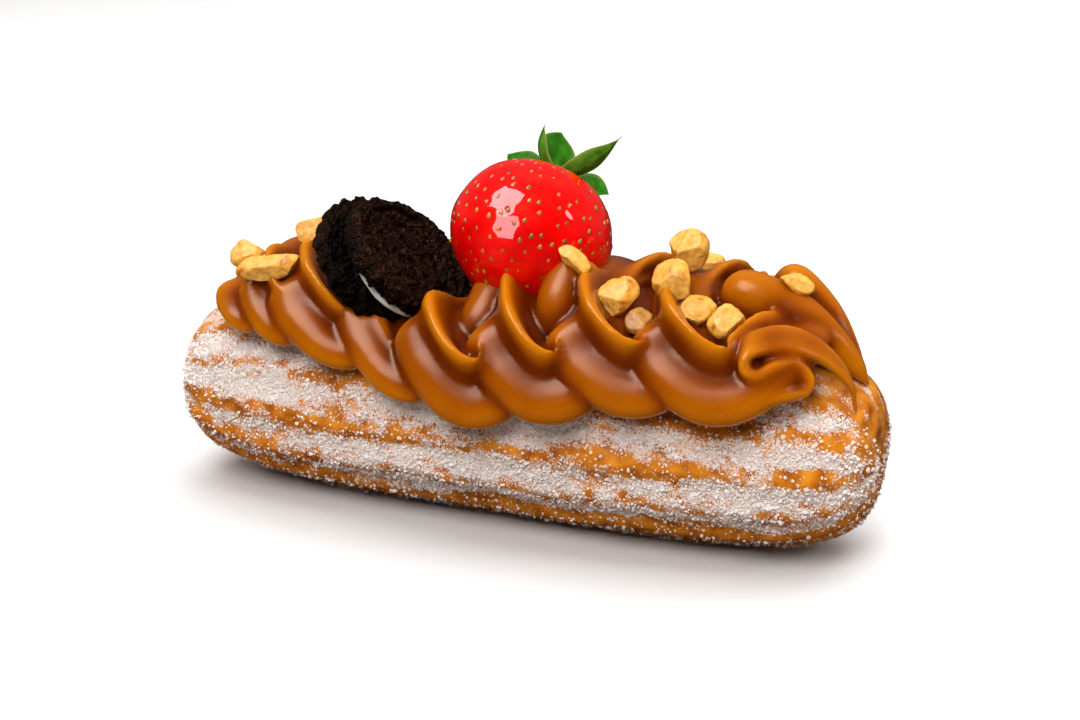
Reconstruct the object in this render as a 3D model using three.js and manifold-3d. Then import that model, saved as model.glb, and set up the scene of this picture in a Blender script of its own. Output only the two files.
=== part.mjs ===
// A sugared churro with a piped rope of caramel on top, a sandwich cookie, a strawberry and peanut pieces.
// The dough lies along X and rests on z = 0. The rope's open loops face -Y. Millimetres and degrees.
import * as THREE from "three";
import { mergeVertices } from "three/addons/utils/BufferGeometryUtils.js";
import Module from "manifold-3d";

const wasm = await Module();
wasm.setup();
const { degToRad, smoothstep, lerp } = THREE.MathUtils;

// Driving dimensions
const gap = 0.3; // between two pieces that touch
const sliver = 0.004; // what is thinner than this is closed up

const dough = {
  length: 150,
  width: 47,
  height: 43.5,
  flattened: 1, // how much of the round underside is pressed flat
  endRoundness: 4.1, // exponent of the ends' outline, 2 is an ellipse
  rings: 12,
  endCap: 0.962, // share of the end's quarter turn that is modelled before the cap closes it
  flutes: 15,
  fluteSides: 3,
  fluteTurn: -2, // brings a ridge to the middle of the front
  fluteDepth: 1.1,
};

const rope = {
  firstTurn: -1.3,
  lastTurn: 6.5,
  zeroX: -45.3, // middle of the loop at turn 0
  pitch: 15.6,
  bendDetail: 0.58, // sections crowd together in the bends, at the front and the back
  reach: 6.6, // how far a loop swings along the dough
  crowdedFrom: -40, // left of here the loops are pushed together
  crowding: 0.4, // by this share of their distance from there
  climb: 2.4, // height of the strand's middle above the dough
  lean: 2.4, // each loop leans back over the one before it
  pressed: 8.5, // how far the strawberry and the cookie push the strand's crossings down
  pressedX: -7,
  pressedWidth: 14,
  settle: 5, // how far the strand's start comes down onto the dough's rounded end
  settleTurns: 0.3,
  wrap: 41, // angle from the top of the dough to a front loop
  wrapMiddle: 19, // the middle loops hang this much lower
  wrapMiddleWidth: 24,
  wrapRight: 7, // so do the ones at the right
};

// Section of the strand. Places are angles in it: 0 is down the dough's side, 90 is out. Phases are angles
// round a loop: 0 is its outermost point, -90 where it comes down and 90 where it goes up again.
const nozzle = {
  core: 5.4,
  inside: 0.5, // the side that faces into a loop and down is this much smaller
  insideTurn: 235, // where that side is
  lobe: { height: 4.4, place: 20, below: 30, above: 42 },
  corner: { height: 2.6, place: -10, phase: -38, spread: 16 }, // added where a lobe sets in
  shoulder: { height: 1.6, place: 36, spread: 34 }, // a swelling before each front lobe
  rim: { height: 6.1, place: 117, startPlace: 70, below: 18, above: 7.5 },
  rimFrom: -0.1, // turn from which the rims are whole
  plainFrom: 6.1, // turn from which the back has neither lobe nor rim
  dent: { depth: 0.86, x: -21, width: 11, place: 104, spread: 60 }, // where the cookie stands on the loops
  delay: 22, // the rims beside the cookie set in this much later
  delayX: -14,
  delayWidth: 11,
  bendRoom: 0.1, // share of a step along the strand that is left open on the inside of a bend
  startScale: 0.5, // the strand swells from this as it begins
  fullFrom: 1.3, // up to this turn
  endScale: 0.85, // and thins to this before its tail
};

const tail = {
  radius: 5,
  tip: 0.25,
  overlap: 0.014, // share of the rope that its first strand lies in
  knots: [
    [47.4, 0.4, 49.4],
    [55.6, -1, 48],
    [62.6, -1.6, 44.4],
    [68.8, -1.4, 39.2],
    [72.1, -0.6, 34.6],
  ],
  behindRadius: 3.2,
  behind: [
    [51.9, 11, 48.7],
    [55.5, 7, 51.9],
    [62.6, 4.5, 47.1],
    [67.8, 2.5, 40.8],
    [72.1, -0.6, 34.6],
  ],
};

// Caramel pushed out between two loops under the strawberry
const bulges = {
  radius: 5.2,
  knots: [
    [
      [-0.5, -9, 47.7],
      [-1.2, -14.5, 42.8],
      [-3.3, -16.5, 37],
    ],
    [
      [15.4, -7.5, 54.2],
      [14.8, -13, 48.3],
      [14.2, -15, 41.5],
    ],
  ],
};

// A thin sheet beside the tail, folded to and fro: its edge follows the knots
const fold = {
  thick: 1.3, // half of what it measures across
  deep: 3.5, // half of what it measures from its edge
  proud: 0.8, // how far it starts before the knots
  squareness: 0.6, // exponent of its section, 1 is an ellipse
  tip: 0.3,
  intoBelow: new THREE.Vector3(-0.35, 0.9, -0.2),
  intoAbove: new THREE.Vector3(-0.2, 0.8, 0.5),
  knots: [
    [53.3, -26, 35.3],
    [60.6, -21.8, 37.3],
    [64.1, -18.4, 37.9],
    [64.6, -17.2, 40.1],
    [62.2, -17.8, 42.6],
    [59.3, -20.7, 42.6],
    [56.4, -23.2, 41.1],
    [54.4, -23.8, 42.4],
    [54.8, -22.2, 44.3],
    [57.4, -19, 44.8],
    [62.1, -16.4, 44.5],
    [67.2, -12.6, 41.5],
    [70.9, -10.4, 36.9],
    [71.9, -9.9, 31.9],
  ],
};

const cookie = {
  radius: 14.8,
  wafer: 4.1,
  cream: 2.4,
  creamInset: 4.6,
  creamSlide: new THREE.Vector3(0.95, -2.2, -1.06), // the cream has been pushed this way between the wafers
  rimWidth: 2.4,
  rimHeight: 0.6,
  notches: 20,
  notchDepth: 0.35,
  place: new THREE.Vector3(-17.9, -11.5, 54.6), // middle of the front face
  facing: new THREE.Vector3(0.689, -0.053, 0.723),
  backPlace: new THREE.Vector3(-25.9, -9.4, 52.2), // middle of the back wafer's inner face
  backFacing: new THREE.Vector3(0.76, -0.157, 0.631), // the cookie gapes towards the front
};

const strawberry = {
  radius: 16.4,
  shoulder: 15.6, // from the widest part up to the leaves
  tip: 14.6, // from the widest part down to the tip
  taper: 0.1,
  dimple: 2.2,
  dimpleWidth: 0.32, // as a share of the radius
  place: new THREE.Vector3(3, -1.6, 57.4),
  axis: new THREE.Vector3(0.17, 0.58, 0.8),
};

const calyx = {
  disc: 3.4, // radius of the disc that the leaves grow from
  thickness: 0.9,
  lift: 0.35, // above the shoulder
  cupped: 1.1, // how far a leaf's edges stand above its middle
  // Each leaf: blunt rounds its end, twist turns it about its length, curl bends its end back
  leaves: [
    { turn: 178, reach: 13.2, width: 6, rise: 2.2, blunt: 2, twist: -60, curl: 0 },
    { turn: -135, reach: 6.4, width: 5.6, rise: 8.9, blunt: 0.9, twist: 0, curl: 1.2 },
    { turn: 150, reach: 5.4, width: 9, rise: 10, blunt: 2, twist: 0, curl: 0.3 },
    { turn: -12, reach: 12, width: 6, rise: 10, blunt: 0.85, twist: 0, curl: 0.2 },
    { turn: 25, reach: 11, width: 7, rise: 0.2, blunt: 2, twist: 50, curl: 0 },
    { turn: 75, reach: 9.5, width: 8, rise: 2, blunt: 1.4, twist: 0, curl: 0 },
  ],
};

// Each peanut piece: its middle, the way its back faces, its turn about that and its length, width and height
const peanuts = [
  { at: [-55.3, -13.6, 51.1], up: [0.1, -0.6, 0.8], turn: 20, size: [7.4, 6.8, 6] },
  { at: [-47.5, -18, 50.4], up: [0, -0.5, 0.86], turn: 21, size: [14, 6.6, 5.2] },
  { at: [-42.7, -8.3, 56.2], up: [0.2, -0.5, 0.84], turn: 60, size: [7.8, 6.8, 6] },
  { at: [17.6, -13.8, 56.8], up: [0.6, -0.45, 0.66], turn: -6, size: [8.6, 3.8, 3.6] },
  { at: [26.5, -14.6, 51], up: [-0.2, -0.65, 0.73], turn: 35, size: [9, 8, 6.6] },
  { at: [31.9, -16.2, 46.6], up: [0.5, -0.5, 0.7], turn: 10, size: [6.4, 6, 5] },
  { at: [35.3, 0.6, 57.4], up: [-0.1, -0.6, 0.8], turn: 75, size: [9, 7.8, 8.6] },
  { at: [37.1, -14, 55.2], up: [-0.3, -0.7, 0.65], turn: -60, size: [9.4, 7.8, 7] },
  { at: [41.6, -15, 49.9], up: [0.1, -0.6, 0.79], turn: 20, size: [8.4, 6.4, 5.4] },
  { at: [48.4, -15.8, 48.7], up: [0.25, -0.65, 0.7], turn: 60, size: [7.6, 6.4, 5.2] },
  { at: [57.5, -0.9, 53.2], up: [0.35, -0.2, 0.9], turn: 10, size: [7, 4.6, 3.8] },
  { at: [-52.8, 15.7, 49.7], up: [-0.4, 0.5, 0.76], turn: 25, size: [8.6, 7.2, 6] },
  { at: [33.1, 19.1, 50.1], up: [0.1, 0.6, 0.8], turn: -30, size: [9, 7.6, 6] },
  { at: [49.5, 15.3, 47.3], up: [0.3, 0.2, 0.9], turn: 50, size: [8, 6.6, 5.6] },
];

const peanutCuts = 6; // flat faces left by chopping
const peanutCutDepth = 0.72; // how far out they lie, 1 is not at all

const colours = {
  dough: 0xd69a55,
  caramel: 0x9a5718,
  wafer: 0x1f1512,
  cream: 0xe6dfd2,
  strawberry: 0xc4121a,
  calyx: 0x57812f,
  peanut: 0xe0b26a,
};

// Half axes and middle of the dough's section
const halfWidth = dough.width / 2;
const halfHeight = dough.height / 2;
const middleZ = halfHeight - dough.flattened;
const fullTurn = 2 * Math.PI;

// The turn that takes +Y to a direction.
function turnFromY(direction) {
  return new THREE.Quaternion().setFromUnitVectors(new THREE.Vector3(0, 1, 0), direction.clone().normalize());
}

// Moves each vertex of a closed geometry by a formula and joins the vertices that meet.
function reshape(geometry, formula) {
  geometry.deleteAttribute("normal");
  geometry.deleteAttribute("uv");
  const position = geometry.getAttribute("position");
  const vertex = new THREE.Vector3();
  for (let i = 0; i < position.count; i += 1) {
    vertex.fromBufferAttribute(position, i);
    const moved = formula(vertex);
    position.setXYZ(i, moved.x, moved.y, moved.z);
  }
  return mergeVertices(geometry, 1e-4);
}

// A geometry as a solid that can be joined and cut. Triangles with no area at a pole are dropped.
function solidFrom(geometry) {
  const index = geometry.index.array;
  const kept = [];
  for (let i = 0; i < index.length; i += 3) {
    const [a, b, c] = [index[i], index[i + 1], index[i + 2]];
    if (a !== b && b !== c && c !== a) kept.push(a, b, c);
  }
  const vertProperties = new Float32Array(geometry.getAttribute("position").array);
  const triVerts = new Uint32Array(kept);
  return new wasm.Manifold(new wasm.Mesh({ numProp: 3, vertProperties, triVerts }));
}

function geometryFrom(solid) {
  const mesh = solid.getMesh();
  const geometry = new THREE.BufferGeometry();
  geometry.setAttribute("position", new THREE.BufferAttribute(mesh.vertProperties, mesh.numProp));
  geometry.setIndex(new THREE.BufferAttribute(mesh.triVerts, 1));
  geometry.computeVertexNormals();
  return geometry;
}

function largestBody(solid) {
  const bodies = solid.decompose();
  return bodies.reduce((best, body) => (body.volume() > best.volume() ? body : best));
}

// The largest body without the slivers and pinholes that cutting leaves: near vertices are joined.
function cleaned(solid) {
  const geometry = geometryFrom(largestBody(solid));
  geometry.deleteAttribute("normal");
  return largestBody(solidFrom(mergeVertices(geometry, sliver)));
}

// A closed tube: pointAt(along, angle, radius) has along 0 to 1, radius 1 on the wall, 0 at a cap's middle.
function tube(sides, steps, pointAt) {
  const grid = new THREE.CylinderGeometry(1, 1, 1, sides, steps);
  return reshape(grid, (v) => pointAt(v.y + 0.5, Math.atan2(-v.x, v.z), Math.hypot(v.x, v.z)));
}

// Dough: an elliptic log with fluted sides and blunt ends, its underside pressed flat and smooth.
function doughGeometry(grow) {
  const sides = dough.flutes * dough.fluteSides;
  return tube(sides, dough.rings, (along, untwisted, radius) => {
    const angle = untwisted + degToRad(dough.fluteTurn);
    const s = Math.sin((along - 0.5) * Math.PI * dough.endCap);
    const swell = (1 - Math.abs(s) ** dough.endRoundness) ** (1 / dough.endRoundness);
    const groove = 0.5 - 0.5 * Math.cos(dough.flutes * (angle + Math.PI / 2));
    const flute = dough.fluteDepth * swell * groove * smoothstep(Math.cos(angle), -1, -0.75);
    const wide = radius * (swell * halfWidth - flute + grow);
    const high = radius * (swell * halfHeight - flute + grow);
    const x = radius > 0.5 ? s * (dough.length / 2 + grow) : Math.sign(s) * (dough.length / 2 + grow);
    const z = middleZ + high * Math.cos(angle);
    return new THREE.Vector3(x, wide * Math.sin(angle), Math.max(z, -grow));
  });
}

// Way out of the dough at a point beside it.
function outwardAt(point) {
  const y = point.y / halfWidth ** 2;
  const z = (point.z - middleZ) / halfHeight ** 2;
  return new THREE.Vector3(0, y, z).normalize();
}

// Middle of the caramel rope after a number of turns: loops laid round the top of the dough.
class RopeCurve extends THREE.Curve {
  turnAt(share) {
    const even = lerp(rope.firstTurn, rope.lastTurn, share);
    return even - (rope.bendDetail * Math.sin(2 * fullTurn * even)) / (2 * fullTurn);
  }

  getPoint(share, target = new THREE.Vector3()) {
    const turn = this.turnAt(share);
    const t = fullTurn * turn;
    const open = rope.zeroX + rope.pitch * turn + rope.reach * Math.sin(t);
    const x = open + rope.crowding * Math.max(rope.crowdedFrom - open, 0);
    const middle = rope.wrapMiddle * Math.exp(-((x / rope.wrapMiddleWidth) ** 2));
    const right = rope.wrapRight * smoothstep(x, -20, 60);
    const phi = degToRad(rope.wrap + middle + right) * Math.cos(t);
    const beside = (x - rope.pressedX) / rope.pressedWidth;
    const pressed = rope.pressed * Math.exp(-(beside ** 2)) * Math.cos(phi) ** 6;
    target.set(x, -halfWidth * Math.sin(phi), middleZ + halfHeight * Math.cos(phi));
    const started = smoothstep(turn, rope.firstTurn, rope.firstTurn + rope.settleTurns);
    const settled = rope.settle * (1 - started);
    const height = rope.climb - rope.lean * Math.sin(t) - pressed - settled;
    return target.addScaledVector(outwardAt(target), height);
  }
}

// A bell curve: 1 at its middle, falling off over a width.
function bell(x, middle, width) {
  return Math.exp(-(((x - middle) / width) ** 2));
}

// The lobe and the rim of the strand's section in a loop whose outermost point is at a phase of 0.
function finsAt(phase, late, turn) {
  const { lobe, corner, rim } = nozzle;
  const setsIn = bell(phase, corner.phase, corner.spread);
  const sinking = 1 - 0.5 * smoothstep(phase, 40, 110) - 0.5 * smoothstep(phase, 100, 160);
  const whole = smoothstep(turn, nozzle.rimFrom - 0.6, nozzle.rimFrom);
  return {
    lobePlace: lobe.place + corner.place * setsIn,
    lobeHeight: (lobe.height + corner.height * setsIn) * smoothstep(phase, -60, -44) * sinking,
    rimPlace: lerp(rim.startPlace, rim.place, smoothstep(late, -70, -5)),
    rimHeight: rim.height * smoothstep(late, -86, -62) * (1 - smoothstep(phase, 50, 105)) * whole,
  };
}

function phaseOf(turn) {
  return THREE.MathUtils.euclideanModulo(360 * turn + 180, 360) - 180;
}

// Fins of the front loop and the back loop that a place on the rope belongs to.
function finsBeside(turn, x) {
  const phase = phaseOf(turn);
  const front = finsAt(phase, phase - nozzle.delay * bell(x, nozzle.delayX, nozzle.delayWidth), turn);
  const back = finsAt(phaseOf(turn - 0.5), phaseOf(turn - 0.5), turn);
  const kept = 1 - smoothstep(turn, nozzle.plainFrom - 0.5, nozzle.plainFrom);
  back.lobeHeight *= kept;
  back.rimHeight *= kept;
  return [front, back];
}

// One fin's share of its height at an angle from its place.
function finShare(angle, place, below, above) {
  const beside = THREE.MathUtils.euclideanModulo(angle - place + 180, 360) - 180;
  return bell(beside, 0, beside < 0 ? below : above);
}

// Radius of the strand's section: a round core with its fins, smaller on the side that faces into the loop.
function strandRadius(angle, turn, x) {
  const { lobe, rim, shoulder, dent } = nozzle;
  const phase = phaseOf(turn);
  const swelling = shoulder.height * smoothstep(phase, -150, -110) * (1 - smoothstep(phase, -52, -34));
  let radius = nozzle.core + swelling * finShare(angle, shoulder.place, shoulder.spread, shoulder.spread);
  for (const fins of finsBeside(turn, x)) {
    radius += fins.lobeHeight * finShare(angle, fins.lobePlace, lobe.below, lobe.above);
    radius += fins.rimHeight * finShare(angle, fins.rimPlace, rim.below, rim.above);
  }
  const atFront = smoothstep(phase, -130, -85) * (1 - smoothstep(phase, 40, 80));
  const dented = bell(x, dent.x, dent.width) * finShare(angle, dent.place, dent.spread, dent.spread);
  radius *= 1 - dent.depth * dented * atFront;
  const inside = 0.5 + 0.5 * Math.cos(degToRad(angle - nozzle.insideTurn));
  return radius * (1 - (1 - nozzle.inside) * inside ** 1.5);
}

// Angles of the section's corners, which follow its fins.
function strandCorners(turn, x) {
  const [front, back] = finsBeside(turn, x);
  const phase = phaseOf(turn);
  const near = Math.abs(phase) <= 90 ? front : back;
  const leaving = 1 - smoothstep(Math.abs(phase) <= 90 ? phase : phaseOf(turn - 0.5), 60, 110);
  const lobe = near.lobePlace;
  const rim = lerp(nozzle.rim.startPlace, near.rimPlace, leaving);
  return [lobe - 40, lobe, lobe + 22, rim - 16, rim, rim + 9, 165, 205, 250, 300];
}

// Cross sections of a bead at even steps of a curve: the middle, the way along, out to the side and up.
function sectionsAlong(curve, from, to, steps, upAt) {
  const step = 1e-3;
  return Array.from({ length: steps + 1 }, (_, i) => {
    const share = lerp(from, to, i / steps);
    const here = curve.getPoint(share);
    const before = curve.getPoint(Math.max(share - step, 0));
    const along = curve.getPoint(Math.min(share + step, 1)).sub(before).normalize();
    const side = along.clone().cross(upAt(here, share)).normalize();
    return { share, here, along, side, up: side.clone().cross(along) };
  });
}

// Moves a section's corner back, within the section, where a tight bend would take it past the next section.
function heldBetween(corner, section, neighbours) {
  for (const { other, ahead } of neighbours) {
    const spare = other.here.clone().sub(corner).dot(other.along) * ahead;
    const room = other.here.clone().sub(section.here).dot(other.along) * ahead;
    const lacking = nozzle.bendRoom * room - spare;
    if (lacking > 0) {
      const within = other.along.clone().addScaledVector(section.along, -other.along.dot(section.along));
      corner.addScaledVector(within, (-ahead * lacking) / within.lengthSq());
    }
  }
  return corner;
}

// A bead of caramel through a run of sections. cornerAt gives each corner's place in them: sideways and up.
function beadGeometry(sections, sides, cornerAt) {
  const steps = sections.length - 1;
  return tube(sides, steps, (along, angle, wall) => {
    const i = Math.round(along * steps);
    const section = sections[i];
    const corner = Math.round((angle / fullTurn) * sides + sides) % sides;
    const [sideways, up] = cornerAt(section, corner);
    const place = section.here.clone();
    place.addScaledVector(section.side, wall * sideways);
    place.addScaledVector(section.up, wall * up);
    const neighbours = [
      { other: sections[i - 1], ahead: -1 },
      { other: sections[i + 1], ahead: 1 },
    ].filter(({ other }) => other);
    return heldBetween(place, section, neighbours);
  });
}

function joinBeads(curve, parts, steps, upAt, sides, cornerAt) {
  let joined = null;
  for (let i = 0; i < parts; i += 1) {
    const sections = sectionsAlong(curve, i / parts, (i + 1) / parts, steps, upAt);
    const bead = solidFrom(beadGeometry(sections, sides, cornerAt));
    joined = joined ? joined.add(bead) : bead;
  }
  return joined;
}

// A smooth curve through points given as lists.
function curveThrough(knots) {
  return new THREE.CatmullRomCurve3(knots.map((knot) => new THREE.Vector3(...knot)), false, "catmullrom");
}

// A round bead through knots, thinning to a tip from a share of its length on.
function roundBead(knots, parts, steps, radius, tip, thinFrom) {
  const sides = 8;
  return joinBeads(curveThrough(knots), parts, steps, outwardAt, sides, (section, corner) => {
    const thinning = Math.max((section.share - thinFrom) / (1 - thinFrom), 0);
    const size = lerp(radius, tip, thinning ** 2);
    const angle = (corner / sides) * fullTurn;
    return [size * Math.cos(angle), size * Math.sin(angle)];
  });
}

// The sheet's section is a superellipse that stands back from its edge.
function foldedSheet() {
  const sides = 8;
  const rounded = (share) => Math.sign(share) * Math.abs(share) ** fold.squareness;
  const into = (_, share) => fold.intoBelow.clone().lerp(fold.intoAbove, smoothstep(share, 0.45, 0.62));
  return joinBeads(curveThrough(fold.knots), 5, 4, into, sides, (section, corner) => {
    const angle = (corner / sides) * fullTurn;
    const thin = lerp(1, fold.tip, smoothstep(section.share, 0.72, 1));
    const across = fold.thick * rounded(Math.cos(angle));
    return [thin * across, thin * (fold.deep * (rounded(Math.sin(angle)) + 1) - fold.proud)];
  });
}

// Rope, the two strands of the tail it is drawn out into, the bulges and the folded sheet, as one.
function caramelBody() {
  const ropeCurve = new RopeCurve();
  const turns = rope.lastTurn - rope.firstTurn;
  const sides = strandCorners(0, 0).length;
  const loops = joinBeads(ropeCurve, Math.round(turns * 2), 8, outwardAt, sides, (section, corner) => {
    const turn = ropeCurve.turnAt(section.share);
    const angle = strandCorners(turn, section.here.x)[corner];
    const begin = lerp(nozzle.startScale, 1, smoothstep(turn, rope.firstTurn, nozzle.fullFrom));
    const end = lerp(1, nozzle.endScale, smoothstep(turn, rope.lastTurn - 0.5, rope.lastTurn));
    const radius = strandRadius(angle, turn, section.here.x) * begin * end;
    return [radius * Math.cos(degToRad(angle)), radius * Math.sin(degToRad(angle))];
  });
  const last = [1 - tail.overlap, 1].map((share) => ropeCurve.getPoint(share).toArray());
  const thinFrom = last.length / (tail.knots.length + 1);
  const strands = [
    roundBead([...last, ...tail.knots], 2, 6, tail.radius, tail.tip, thinFrom),
    roundBead(tail.behind, 1, 8, tail.behindRadius, tail.tip, 0),
    ...bulges.knots.map((knots) => roundBead(knots, 1, 3, bulges.radius, bulges.radius, 0)),
    foldedSheet(),
  ];
  return strands.reduce((body, strand) => body.add(strand), loops);
}

// Strawberry: an egg shape with its tip down, dimpled under the leaves. Its axis leans away from the front.
function strawberryGeometry(grow) {
  const ball = new THREE.SphereGeometry(1, 20, 13);
  const turn = turnFromY(strawberry.axis);
  return reshape(ball, (v) => {
    const round = Math.hypot(v.x, v.z);
    const radius = (strawberry.radius + grow) * (1 - strawberry.taper * Math.max(0, -v.y) ** 2);
    const dimple = v.y > 0 ? strawberry.dimple * Math.exp(-((round / strawberry.dimpleWidth) ** 2)) : 0;
    const along = v.y * ((v.y > 0 ? strawberry.shoulder : strawberry.tip) + grow) - dimple;
    const moved = new THREE.Vector3(v.x * radius, along, v.z * radius);
    return moved.applyQuaternion(turn).add(strawberry.place);
  });
}

// One leaf of the strawberry, from the axis along +Z: a thin wavy solid, both faces split alike.
function leafGeometry(leaf) {
  const slab = new THREE.BoxGeometry(1, calyx.thickness, 1, 2, 1, 4);
  return reshape(slab, (v) => {
    const along = v.z + 0.5;
    const round = Math.max(Math.sin(Math.PI * along ** leaf.blunt), 0) ** 0.6;
    const closing = (1 - along ** (5 * leaf.blunt)) ** (1 / leaf.blunt);
    const across = v.x * Math.max(leaf.width * (0.22 + 0.78 * round) * closing, 0.25);
    const over = calyx.cupped * (2 * v.x) ** 2 * Math.sin(Math.PI * along) + v.y * (1 - 0.5 * along);
    const twist = degToRad(leaf.twist) * smoothstep(along, 0, 0.5);
    const sideways = across * Math.cos(twist) - over * Math.sin(twist);
    const height = leaf.rise * along ** 1.7 + across * Math.sin(twist) + over * Math.cos(twist);
    return new THREE.Vector3(sideways, height, leaf.reach * along * (1 + leaf.curl * (1 - along)));
  });
}

// Leaves joined on a small disc under the stalk, lying on the strawberry's shoulder.
function calyxGeometry() {
  const turn = turnFromY(strawberry.axis);
  const base = strawberry.shoulder - strawberry.dimple + calyx.thickness / 2 + calyx.lift;
  const place = new THREE.Matrix4().compose(strawberry.place, turn, new THREE.Vector3(1, 1, 1));
  const disc = new THREE.CylinderGeometry(calyx.disc * 0.7, calyx.disc, calyx.thickness * 1.6, 14);
  let joined = solidFrom(reshape(disc, (v) => v.clone()));
  for (const leaf of calyx.leaves) {
    const turned = new THREE.Matrix4().makeRotationY(degToRad(leaf.turn + 90));
    joined = joined.add(solidFrom(reshape(leafGeometry(leaf), (v) => v.clone().applyMatrix4(turned))));
  }
  const geometry = geometryFrom(joined);
  geometry.deleteAttribute("normal");
  geometry.translate(0, base, 0).applyMatrix4(place);
  return geometryFrom(cleaned(solidFrom(geometry).subtract(solidFrom(strawberryGeometry(gap)))));
}

// Half section of a wafer with a raised rim on its outer face, from the axis out and back to it.
function waferOutline() {
  const rim = cookie.radius - cookie.rimWidth;
  return [
    [0, 0],
    [cookie.radius - 0.4, 0],
    [cookie.radius, 0.6],
    [cookie.radius, cookie.wafer - 0.5],
    [cookie.radius - 0.6, cookie.wafer],
    [rim, cookie.wafer],
    [rim - 0.5, cookie.wafer - cookie.rimHeight],
    [0, cookie.wafer - cookie.rimHeight],
  ].map(([r, y]) => new THREE.Vector2(r, y));
}

// A wafer's edge is notched all round.
function waferGeometry() {
  const wafer = new THREE.LatheGeometry(waferOutline(), cookie.notches * 2);
  return reshape(wafer, (v) => {
    const r = Math.hypot(v.x, v.z);
    const notch = Math.cos(cookie.notches * Math.atan2(v.x, v.z)) > 0 ? cookie.notchDepth : 0;
    const share = r > cookie.radius - 0.7 ? (r - notch) / r : 1;
    return new THREE.Vector3(v.x * share, v.y, v.z * share);
  });
}

function creamGeometry() {
  const radius = cookie.radius - cookie.creamInset;
  return reshape(new THREE.CylinderGeometry(radius, radius, cookie.cream - 2 * gap, 32), (v) => v.clone());
}

// Room that the cookie takes in the caramel and the dough.
function cookieRoom() {
  const radius = cookie.radius + gap;
  const front = new THREE.CylinderGeometry(radius, radius, cookie.wafer + cookie.cream + gap, 40);
  front.translate(0, (gap - cookie.wafer - cookie.cream) / 2, 0);
  const back = new THREE.CylinderGeometry(radius, radius, cookie.wafer + 2 * gap, 40);
  back.translate(0, -cookie.wafer / 2, 0);
  const placedFront = reshape(front, (v) => v.clone().applyMatrix4(waferPlace(cookie.place, cookie.facing)));
  const backPlaced = waferPlace(cookie.backPlace, cookie.backFacing);
  const placedBack = reshape(back, (v) => v.clone().applyMatrix4(backPlaced));
  return solidFrom(placedFront).add(solidFrom(placedBack));
}

// The move that takes the origin to a place and +Y to the way a wafer faces.
function waferPlace(place, facing) {
  return new THREE.Matrix4().compose(place, turnFromY(facing), new THREE.Vector3(1, 1, 1));
}

// A chopped peanut piece: a rounded lump with a few flat faces, which differ from piece to piece.
function peanutGeometry(piece, number, grow) {
  const lump = new THREE.IcosahedronGeometry(1, 1);
  const up = new THREE.Vector3(...piece.up).normalize();
  const turn = new THREE.Quaternion().setFromUnitVectors(new THREE.Vector3(0, 0, 1), up);
  const spin = new THREE.Quaternion().setFromAxisAngle(new THREE.Vector3(0, 0, 1), degToRad(piece.turn));
  const half = new THREE.Vector3(...piece.size).multiplyScalar(0.5).addScalar(grow);
  const cuts = Array.from({ length: peanutCuts }, (_, i) => {
    const around = 2.4 * i + 1.3 * number;
    const across = Math.cos(1.7 * i + number);
    const flat = Math.sqrt(1 - across ** 2);
    return new THREE.Vector3(flat * Math.cos(around), flat * Math.sin(around), across);
  });
  return reshape(lump, (v) => {
    const cut = v.clone();
    for (const facing of cuts) {
      cut.addScaledVector(facing, -Math.max(0, cut.dot(facing) - peanutCutDepth));
    }
    cut.multiply(half).applyQuaternion(spin).applyQuaternion(turn);
    return cut.add(new THREE.Vector3(...piece.at));
  });
}

const part = new THREE.Group();

function addPiece(name, geometry, colour, roughness) {
  const material = new THREE.MeshStandardMaterial({ color: colour, roughness, metalness: 0 });
  const mesh = new THREE.Mesh(geometry, material);
  mesh.name = name;
  part.add(mesh);
  return mesh;
}

// The cookie and the strawberry keep their form, and what they are pressed into gives way.
const berryRoom = solidFrom(strawberryGeometry(gap));
const doughBody = solidFrom(doughGeometry(0)).subtract(cookieRoom());
let caramel = caramelBody();
caramel = caramel.subtract(solidFrom(doughGeometry(gap)));
caramel = caramel.subtract(cookieRoom());
caramel = caramel.subtract(berryRoom);
peanuts.forEach((piece, i) => {
  caramel = caramel.subtract(solidFrom(peanutGeometry(piece, i, gap)));
});

addPiece("dough", geometryFrom(doughBody), colours.dough, 0.8);
addPiece("caramel", geometryFrom(cleaned(caramel)), colours.caramel, 0.35);

const stack = new THREE.Group();
stack.applyMatrix4(waferPlace(cookie.place, cookie.facing));
part.add(stack);
const frontWafer = addPiece("cookie_wafer_front", waferGeometry(), colours.wafer, 0.75);
frontWafer.position.y = -cookie.wafer;
const cream = addPiece("cookie_cream", creamGeometry(), colours.cream, 0.6);
const creamSlid = cookie.creamSlide.clone().applyQuaternion(turnFromY(cookie.facing).invert());
cream.position.copy(creamSlid).setY(-cookie.wafer - cookie.cream / 2);
const backWafer = addPiece("cookie_wafer_back", waferGeometry(), colours.wafer, 0.75);
backWafer.rotation.x = Math.PI;
backWafer.applyMatrix4(waferPlace(cookie.backPlace, cookie.backFacing));
stack.add(frontWafer, cream);

addPiece("strawberry", strawberryGeometry(0), colours.strawberry, 0.2);
addPiece("strawberry_calyx", calyxGeometry(), colours.calyx, 0.7);
peanuts.forEach((piece, i) => {
  addPiece(`peanut_${String(i + 1).padStart(2, "0")}`, peanutGeometry(piece, i, 0), colours.peanut, 0.55);
});

export default part;
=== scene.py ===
import math

import bpy
import numpy as np
from mathutils import Matrix, Vector


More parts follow.
